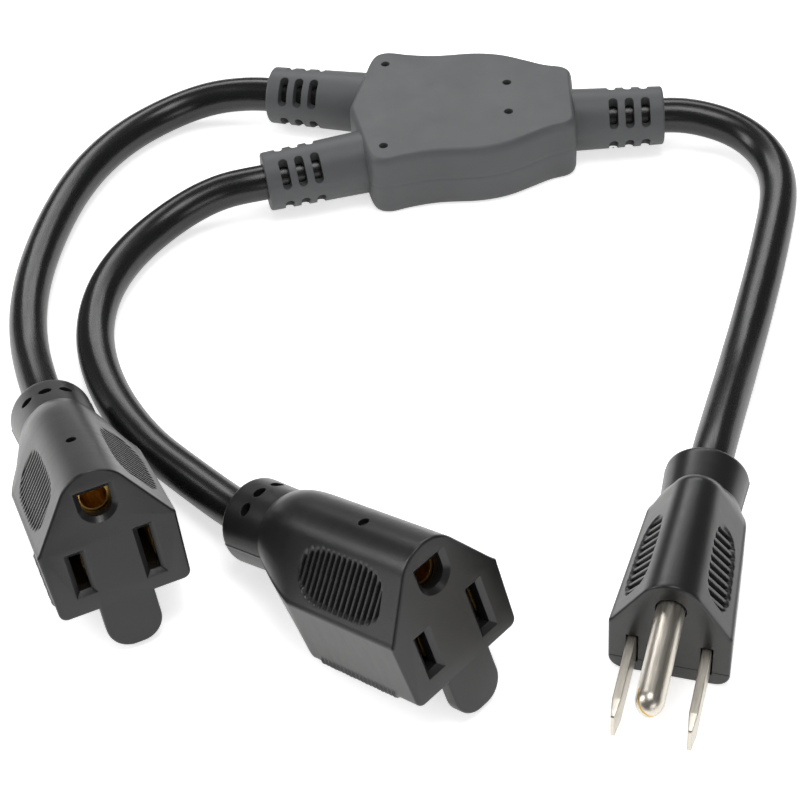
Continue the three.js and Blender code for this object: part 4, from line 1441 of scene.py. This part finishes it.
@dataclass
class JunctionBlock:
    """The moulded Y block: a flat housing with rolled edges and three strain reliefs."""

    height: float = 15.0
    apex: float = 25.4
    end: float = 25.9
    facet: float = 18.2
    lobe: float = 21.3
    waist: float = 19.2
    tail: float = 11.3
    edge: float = 2.4
    draft: float = 0.35
    room_floor: float = 3.1
    room_left: float = 6.6
    room_right: float = 10.4
    room_half: float = 12.5
    leg_spread: float = 14.0
    leg_offset: float = 11.7
    leg_length: float = 22.2
    tail_length: float = 19.9
    vents: tuple[tuple[float, float], ...] = ((-17.0, 15.7), (10.9, 5.6))
    vent_radius: float = 1.0
    vent_depth: float = 1.4
    seam: float = 0.1
    corner_reach: float = 1.5
    outline_reach: float = 0.75
    around: int = 420

    def __post_init__(self) -> None:
        """Works out the legs' spread and the shift that centres the block with its legs."""
        self.spread = math.radians(self.leg_spread)
        reach = self.apex + self.leg_length * math.cos(self.spread)
        reach += (Relief.tip_diameter / 2 - self.leg_offset) * math.sin(self.spread)
        self.shift = (reach - (self.end + self.tail_length)) / 2

    def legs(self) -> dict[str, tuple[Relief, Array, float]]:
        """Where the legs are.

        Returns:
            By the cord's name, each leg's relief, the matrix that lays the relief's Z axis along
            the leg, and the depth from the leg's root to the room.
        """
        made = {}
        turns = {"plug": 0.0, "left": math.pi - self.spread, "front": math.pi + self.spread}
        for name, turn in turns.items():
            if name == "plug":
                root = (self.end + self.shift, 0.0)
                length, depth = self.tail_length, self.room_right
            else:
                side = 1 if name == "left" else -1
                x = self.shift - self.apex + self.leg_offset * math.sin(self.spread)
                root = (x, side * self.leg_offset * math.cos(self.spread))
                length = self.leg_length
                depth = self.room_left / math.cos(self.spread)
                depth -= self.leg_offset * math.tan(self.spread)
            out = Vector((math.cos(turn), math.sin(turn), 0))
            up = Vector((0, 0, 1))
            matrix = frame_matrix(up.cross(out), up, out, Vector((*root, self.height / 2)))
            made[name] = (Relief(length), matrix, depth)
        return made

    def exit(self, name: str) -> tuple[Array, Array]:
        """The middle of a leg's end and the way its cord leaves."""
        relief, matrix, _ = self.legs()[name]
        return matrix[:3, :3] @ [0, 0, relief.length] + matrix[:3, 3], matrix[:3, 2]

    def outline(self) -> Array:
        """The plan outline, anticlockwise: two facets at the apex, lobes, a waist and a tail.

        A side is a smooth line through points, whose places along the block come from the photo and
        whose distances from its axis are the widths of the lobe, the waist and the tail.

        Returns:
            The points, spaced evenly, anticlockwise.
        """
        spread = self.spread
        corner = (-self.apex + self.facet * math.sin(spread), self.facet * math.cos(spread))
        side = catmull(np.array([
            corner, (corner[0] + 1.3, self.lobe - 0.9), (corner[0] + 3.9, self.lobe),
            (-self.apex / 2, (self.lobe + self.waist) / 2), (-6, self.waist), (4.5, self.waist),
            (10.4, self.waist * 0.93), (15.6, (self.waist + self.tail) / 2),
            (20.6, self.tail + 1.2), (self.end - 1.4, self.tail),
        ], float), 150)
        tail = [(self.end, self.tail - 1.5), (self.end, 0.0)]
        upper = np.vstack([[(-self.apex, 0.0)], side, tail])
        lower = upper[1:-1][::-1] * [1, -1]
        ring = np.vstack([upper, lower])[::-1] + [self.shift, 0]
        return softened(even(ring, self.around), self.outline_reach)

    def housing(self) -> Shell:
        """The flat housing: the outline drawn in along its normals, by a quarter circle at both
        edges and by the draft from a fine seam at half height.

        Returns:
            A closed surface in the part's frame.
        """
        outline = self.outline()
        normal = softened(outward(outline), self.corner_reach)
        back, inward = fillet(self.edge, 12)
        half = self.height / 2
        side = np.linspace(self.edge, half - 0.12, 6)[1:]
        draft = self.draft * (half - side) / (half - self.edge)
        rows = list(zip(inward + self.draft, back)) + list(zip(draft, side)) + [(self.seam, half)]
        rows += [(i, self.height - z) for i, z in reversed(rows[:-1])]
        return Shell.skin([lifted(outline - normal * i, z) for i, z in rows])

    def body(self) -> Shell:
        """The whole moulding with its bores, room, windows and blind holes.

        Returns:
            A closed surface in the part's frame.
        """
        shell = self.housing()
        legs = self.legs().values()
        for relief, matrix, _ in legs:
            shell = shell.joined(relief.form().moved(matrix))
        left, right = self.room_left - self.apex, self.end - self.room_right
        room = block(
            [self.shift + left, -self.room_half, self.room_floor],
            [self.shift + right, self.room_half, self.height - self.room_floor],
        )
        shell = shell.cut(room)
        for relief, matrix, depth in legs:
            shell = shell.cut(relief.hollow(depth).moved(matrix), relief.windows().moved(matrix))
        low, high = self.height - self.vent_depth, self.height + 1
        return shell.cut(together([
            bar(self.vent_radius, low, high, (self.shift + x, side * y), 36)
            for x, y in self.vents for side in (-1, 1)
        ]))

    def dress(self, vinyl: bpy.types.Material) -> bpy.types.Object:
        """Shows the block in place of its CAD node."""
        return show(self.body(), "y_block_moulding", vinyl, ["y_block"])


@dataclass
class Cord:
    """A round cord that runs from a leg of the block to a connector's neck.

    Attributes:
        start: the leg's exit and the way out of it.
        end: the neck's exit and the way out of it.
        middle: points of its centre line between them.
        inside: how far it goes on into the leg and into the neck.
    """

    name: str
    start: tuple[Array, Array]
    end: tuple[Array, Array]
    middle: Sequence[Place]
    radius: float = CORD_RADIUS
    gap: float = 0.3
    straight: float = 4.0
    inside: tuple[float, float] = (16.0, 4.6)
    around: int = 48
    pace: float = 0.8
    ease: float = 3.2

    def route(self) -> Array:
        """The centre line, evenly spaced.

        Returns:
            A smooth line through the middle points, with straight ends inside the leg and the neck.
        """
        (here, away), (there, back) = self.start, self.end
        points = np.vstack([
            here + away * self.gap, here + away * self.straight, np.array(self.middle, float),
            there + back * self.straight, there + back * self.gap,
        ])
        line = catmull(points, 900)
        line = np.vstack([here - away * self.inside[0], line, there - back * self.inside[1]])
        steps = np.linalg.norm(np.diff(line, axis=0), axis=1).sum()
        return eased(even(line, int(steps / self.pace), closed=False), self.ease / self.pace)

    def tube(self) -> tuple[Shell, Array, Array]:
        """The jacket: a circle carried along the route, square to it.

        Returns:
            The surface, its route, and each point's length along and place round the route.
        """
        line = self.route()
        away = np.gradient(line, axis=0)
        away /= np.linalg.norm(away, axis=1, keepdims=True)
        side = np.cross([0.0, 0.0, 1.0], away)
        side /= np.linalg.norm(side, axis=1, keepdims=True)
        up = np.cross(away, side)
        unit = circle(self.radius, self.around)
        rings = line[:, None] + side[:, None] * unit[None, :, :1] + up[:, None] * unit[None, :, 1:]
        along = np.arange(len(line))[:, None] * self.pace
        own = np.dstack(np.broadcast_arrays(along, unit[None, :, 0], unit[None, :, 1]))
        return Shell.skin(rings), line, own.reshape(-1, 3)

    def dress(self, jacket: bpy.types.Material) -> tuple[bpy.types.Object, Array]:
        """Shows the jacket in place of its CAD node, and hands back its route too."""
        shell, line, own = self.tube()
        item = show(shell, f"{self.name}_jacket", jacket, [self.name])
        item.data.attributes["own"].data.foreach_set("vector", own.astype(np.float32).ravel())
        return item, line

    def declare(
        self, item: bpy.types.Object, line: Array, far_end: str, pieces: Sequence[bpy.types.Object]
    ) -> None:
        """Works out the cord's start, its width and its centre line in metres, and keeps none of
        them.

        Args:
            item: the jacket; not used.
            line: its centre line.
            far_end: what kind of thing is on its far end; not used.
            pieces: the pieces that are on it; not used.
        """
        tuple(self.start[0] * MM)
        2 * self.radius * MM
        [tuple(p) for p in line * MM]


@dataclass
class Studio:
    """The camera, the floor and the lights.

    Attributes:
        eye: the camera's place, in millimetres.
        ahead: the way it looks.
        right: its level right-hand side before it is rolled.
        roll: the sine of its roll.
        lens: focal length on a 36 mm sensor.
        aim: what the lamps look at.
        floor_radius: how far the floor goes.
    """

    eye: Place = (6.91367, -341.68925, 257.20751)
    ahead: Place = (-0.05714043, 0.71124173, -0.70062128)
    right: Place = (0.99678836, 0.08008095, 0.0)
    roll: float = 0.10367639
    lens: float = 82.2416
    aim: Place = (-15.0, -70.0, 0.0)
    floor_radius: float = 6000.0

    def camera(self) -> None:
        """Makes the camera and gives it to the scene."""
        ahead, right = Vector(self.ahead), Vector(self.right)
        down = ahead.cross(right)
        level = math.sqrt(1 - self.roll**2)
        across = right * level + down * self.roll
        below = down * level - right * self.roll
        data = bpy.data.cameras.new("camera")
        data.sensor_fit = "HORIZONTAL"
        data.sensor_width = 36.0
        data.lens = self.lens
        data.clip_start = 0.01
        item = bpy.data.objects.new("camera", data)
        bpy.context.scene.collection.objects.link(item)
        matrix = np.eye(4)
        matrix[:3, 0], matrix[:3, 1], matrix[:3, 2] = across, -below, -ahead
        matrix[:3, 3] = np.array(self.eye) * MM
        item.matrix_world = Matrix(matrix.tolist())
        bpy.context.scene.camera = item

    def floor(self) -> None:
        """A plain pale floor that shows the object's shadow and glows a little."""
        paint = Paint("pale_floor")
        tone = paint.noise(paint.spot(), 0.02, 2.0)
        colour = paint.mix(tone, shade(0.93), shade(0.96))
        seen = paint.node("ShaderNodeLightPath", output="Is Camera Ray")
        mirrored = paint.node("ShaderNodeLightPath", output="Is Glossy Ray")
        glow = paint.mix(mirrored, shade(0.1), (0.45, 0.45, 0.44, 1.0))
        glow = paint.mix(seen, glow, shade(0.62))
        material = paint.done(
            Base_Color=colour, Roughness=0.9, Specular_IOR_Level=0.1, Emission_Color=glow,
            Emission_Strength=1.0,
        )
        count = 64
        outline = circle(self.floor_radius, count)
        data = Shell(lifted(outline, -0.02), np.arange(count), np.array([count])).mesh("floor")
        data.materials.append(material)
        item = bpy.data.objects.new("floor", data)
        bpy.context.scene.collection.objects.link(item)

    def lamp(self, name: str, place: Place, size: tuple[float, float], power: float) -> None:
        """A soft box that looks at the object; places and sizes in millimetres.

        Args:
            name: its name.
            place: where it is.
            size: its width and height.
            power: its power in watts.
        """
        data = bpy.data.lights.new(name, "AREA")
        data.shape = "RECTANGLE"
        data.size, data.size_y = size[0] * MM, size[1] * MM
        data.energy = power
        item = bpy.data.objects.new(name, data)
        item.location = Vector(place) * MM
        turn = (Vector(self.aim) * MM - item.location).to_track_quat("-Z", "Y")
        item.rotation_euler = turn.to_euler()
        bpy.context.scene.collection.objects.link(item)

    def world(self, seen: float, mirrored: float, lit: float) -> None:
        """A white surround for the camera, and dimmer ones in reflections and for the light.

        Args:
            seen: its brightness to the camera.
            mirrored: its brightness in reflections.
            lit: its brightness as a light.
        """
        world = bpy.data.worlds.new("surround")
        bpy.context.scene.world = world
        world.use_nodes = True
        tree = world.node_tree
        back = tree.nodes["Background"]
        path = tree.nodes.new("ShaderNodeLightPath")
        level = lit
        for output, strength in (("Is Glossy Ray", mirrored), ("Is Camera Ray", seen)):
            mix = tree.nodes.new("ShaderNodeMapRange")
            mix.inputs["To Max"].default_value = strength
            if isinstance(level, float):
                mix.inputs["To Min"].default_value = level
            else:
                tree.links.new(level, mix.inputs["To Min"])
            tree.links.new(path.outputs[output], mix.inputs["Value"])
            level = mix.outputs["Result"]
        tree.links.new(level, back.inputs["Strength"])
        back.inputs["Color"].default_value = (1, 1, 1, 1)

    def build(self) -> None:
        """Makes the whole studio."""
        self.camera()
        self.floor()
        self.world(seen=1.0, mirrored=0.1, lit=0.42)
        self.lamp("back_box", (-60, 560, 480), (700, 200), 1.9)
        self.lamp("left_box", (-620, -40, 420), (200, 500), 1.6)
        self.lamp("top_box", (60, -80, 760), (300, 300), 1.5)
        self.lamp("front_fill", (300, -620, 260), (400, 200), 0.5)
        bpy.context.scene.view_settings.view_transform = "Standard"


PLUG_MIDDLE = [
    (53.5, -0.9, 7.1), (60.6, -3.9, 6.2), (65.9, -9.2, 5.2), (68.7, -16.2, 4.4), (68.9, -24, 4),
    (67.5, -31.6, 4), (65.5, -39.2, 4), (63.4, -46.8, 4), (61.2, -54.3, 4), (58.9, -61.8, 4),
    (56.6, -69.3, 4.1), (54.3, -76.6, 4.6), (52.1, -84, 5.6), (49.9, -91.3, 7.1),
]
LEFT_MIDDLE = [
    (-51.6, 18.2, 7.2), (-58.6, 19.1, 6.1), (-65.4, 17.9, 4.9), (-71.6, 14.7, 4.2), (-77, 10.2, 4),
    (-81.5, 4.7, 4), (-85.2, -1.6, 4), (-88.2, -8.7, 4), (-90.4, -16.4, 4), (-92, -24.3, 4),
    (-93.1, -32.3, 4), (-93.7, -40.3, 4), (-93.6, -48.3, 4), (-92.8, -56.2, 4), (-91.2, -64, 4),
    (-88.9, -71.5, 4.5),
]
FRONT_MIDDLE = [
    (-51.4, -17.7, 7.2), (-57.8, -19.8, 6.2), (-63.5, -23.2, 5), (-68.4, -27.8, 4.2),
    (-72.4, -33.4, 4), (-75.4, -39.7, 4), (-77.4, -46.4, 4), (-78.2, -53.6, 4),
    (-77.9, -60.9, 4), (-76.4, -68.1, 4),
    (-74, -75.1, 4), (-70.8, -81.9, 4), (-66.9, -88.4, 4), (-62.3, -94.6, 4), (-57, -100.4, 4.5),
]

OUTLET_PROFILE = Profile(
    half_width=12.6, bottom_half=12.1, bottom=-7.9, corner=1.5, shoulder=5.6,
    arch_half=5.5, arch_base=15.7, top=18.3,
)
PLUG_PROFILE = Profile(
    half_width=10.5, bottom_half=10.5, bottom=-6.2, corner=2.8, shoulder=6.4,
    arch_half=4.5, arch_base=15.6, top=17.7,
)
OUTLET_GRIP = Grip(
    front=4.6, count=16, pitch=1.4, depth=0.85, dip=0.1, half_height=5.3, slant=0.2
)
PLUG_GRIP = Grip(
    front=3.2, count=10, pitch=1.75, depth=1.0, dip=0.3, half_height=3.9, slant=0.22
)
OUTLET_TEETH = Serration(front=5.0, back=26.0, pitch=1.05, height=0.42)


def make_outlet(name: str, place: Place) -> Outlet:
    """An outlet that rests on the back corner of its tab and the underside of its neck.

    Args:
        name: its name in the part.
        place: plan position of its face's middle, and its heading in degrees.

    Returns:
        The outlet, tilted so that both touch the table.
    """
    reach, length, thickness, radius, height = 17.1, 51.0, 3.0, 8.1, 8.0
    tilt = math.atan2(reach - (radius - height), length - thickness)
    lift = reach * math.cos(tilt) + thickness * math.sin(tilt)
    return Outlet(
        name=name, profile=OUTLET_PROFILE, grip=OUTLET_GRIP, length=length, straight=28.0,
        neck_start=40.0, neck_radius=radius, waist_radius=7.8, neck_height=height, taper=0.0,
        low_power=1.25, ridge_power=3.2, place=place, tilt=tilt, lift=lift,
        serration=OUTLET_TEETH,
    )


def make_plug() -> Plug:
    """The plug, flat on its underside."""
    return Plug(
        name="plug", profile=PLUG_PROFILE, grip=PLUG_GRIP, length=38.7, straight=25.5,
        neck_start=30.5, neck_radius=7.7, waist_radius=7.2, neck_height=4.0, taper=0.16,
        low_power=1.5, ridge_power=1.9, place=(32.6, -151.4, -105.8), tilt=0.0, lift=6.2,
    )


def paint_nodes(nodes: dict[str, bpy.types.Object]) -> None:
    """Gives the inner CAD nodes that stay the finishes of their slots.

    Args:
        nodes: the CAD nodes by name.
    """
    finishes = {
        # The nylon inserts are painted near black as painted shade, standing in for the dark inside
        # of the slots.
        Slot.NYLON: PlainPlastic("nylon_painted_slot_shade", (0.03, 0.026, 0.022, 1.0), 0.5).make(),
        Slot.BRASS: StampedBrass("stamped_brass").make(),
        Slot.HOT: PlainPlastic("black_insulation", shade(0.02), 0.42).make(),
        Slot.NEUTRAL: PlainPlastic("white_insulation", shade(0.7, 0.02), 0.45).make(),
        Slot.GROUND: PlainPlastic("green_insulation", (0.02, 0.22, 0.06, 1.0), 0.42).make(),
    }
    slots = {sub["node"]: sub["material_slot"] for sub in frame["record"]["subparts"]}
    for name, item in nodes.items():
        found = [slot for slot in finishes if slot.value == slots.get(name)]
        if found:
            item.data.materials.clear()
            item.data.materials.append(finishes[found[0]])


def main() -> None:
    """Builds the studio, the cords and then every other piece."""
    logging.basicConfig(level=logging.INFO, format="%(message)s")
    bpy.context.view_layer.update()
    studio = Studio()
    studio.build()
    block_part = JunctionBlock()
    left = make_outlet("left_outlet", (-62.2, -134.9, -66.6))
    front = make_outlet("front_outlet", (-3.0, -152.8, -43.5))
    plug = make_plug()
    cords = {
        "plug": Cord("plug_cord", block_part.exit("plug"), plug.exit(), PLUG_MIDDLE),
        "left": Cord("left_cord", block_part.exit("left"), left.exit(), LEFT_MIDDLE),
        "front": Cord("front_cord", block_part.exit("front"), front.exit(), FRONT_MIDDLE),
    }
    jacket = ExtrudedJacket("extruded_jacket", shade(0.008, -0.04), 0.27).make()
    laid = {name: cord.dress(jacket) for name, cord in cords.items()}

    paint_nodes(frame["nodes"])
    matt = MouldedVinyl("matt_moulded_vinyl", shade(0.1, -0.03), 0.52, clouds=0.04).make()
    block_part.dress(matt)
    glossy = MouldedVinyl("glossy_moulded_vinyl", shade(0.013, -0.02), 0.33, coat=0.12).make()
    plate = (0.8, 0.75, 0.66, 1.0)
    nickel = NickelPlate("nickel_plate", plate, 0.36).make()
    seamed = NickelPlate("seamed_nickel_plate", plate, 0.34, plug.ground_offset, 17.6).make()
    shown = {
        "left": left.dress(glossy), "front": front.dress(glossy),
        "plug": plug.dress(glossy, nickel, seamed),
    }
    prefixes = {"left": "left_outlet_", "front": "front_outlet_", "plug": "plug_"}
    for name, cord in cords.items():
        item, line = laid[name]
        inner = [
            node for key, node in frame["nodes"].items()
            if key.startswith(prefixes[name]) and not key.endswith("_block_core")
            and key != "plug_cord" and not node.hide_render
        ]
        cord.declare(item, line, "plug" if name == "plug" else "connector", [*shown[name], *inner])


if __name__ == "__main__":
    main()
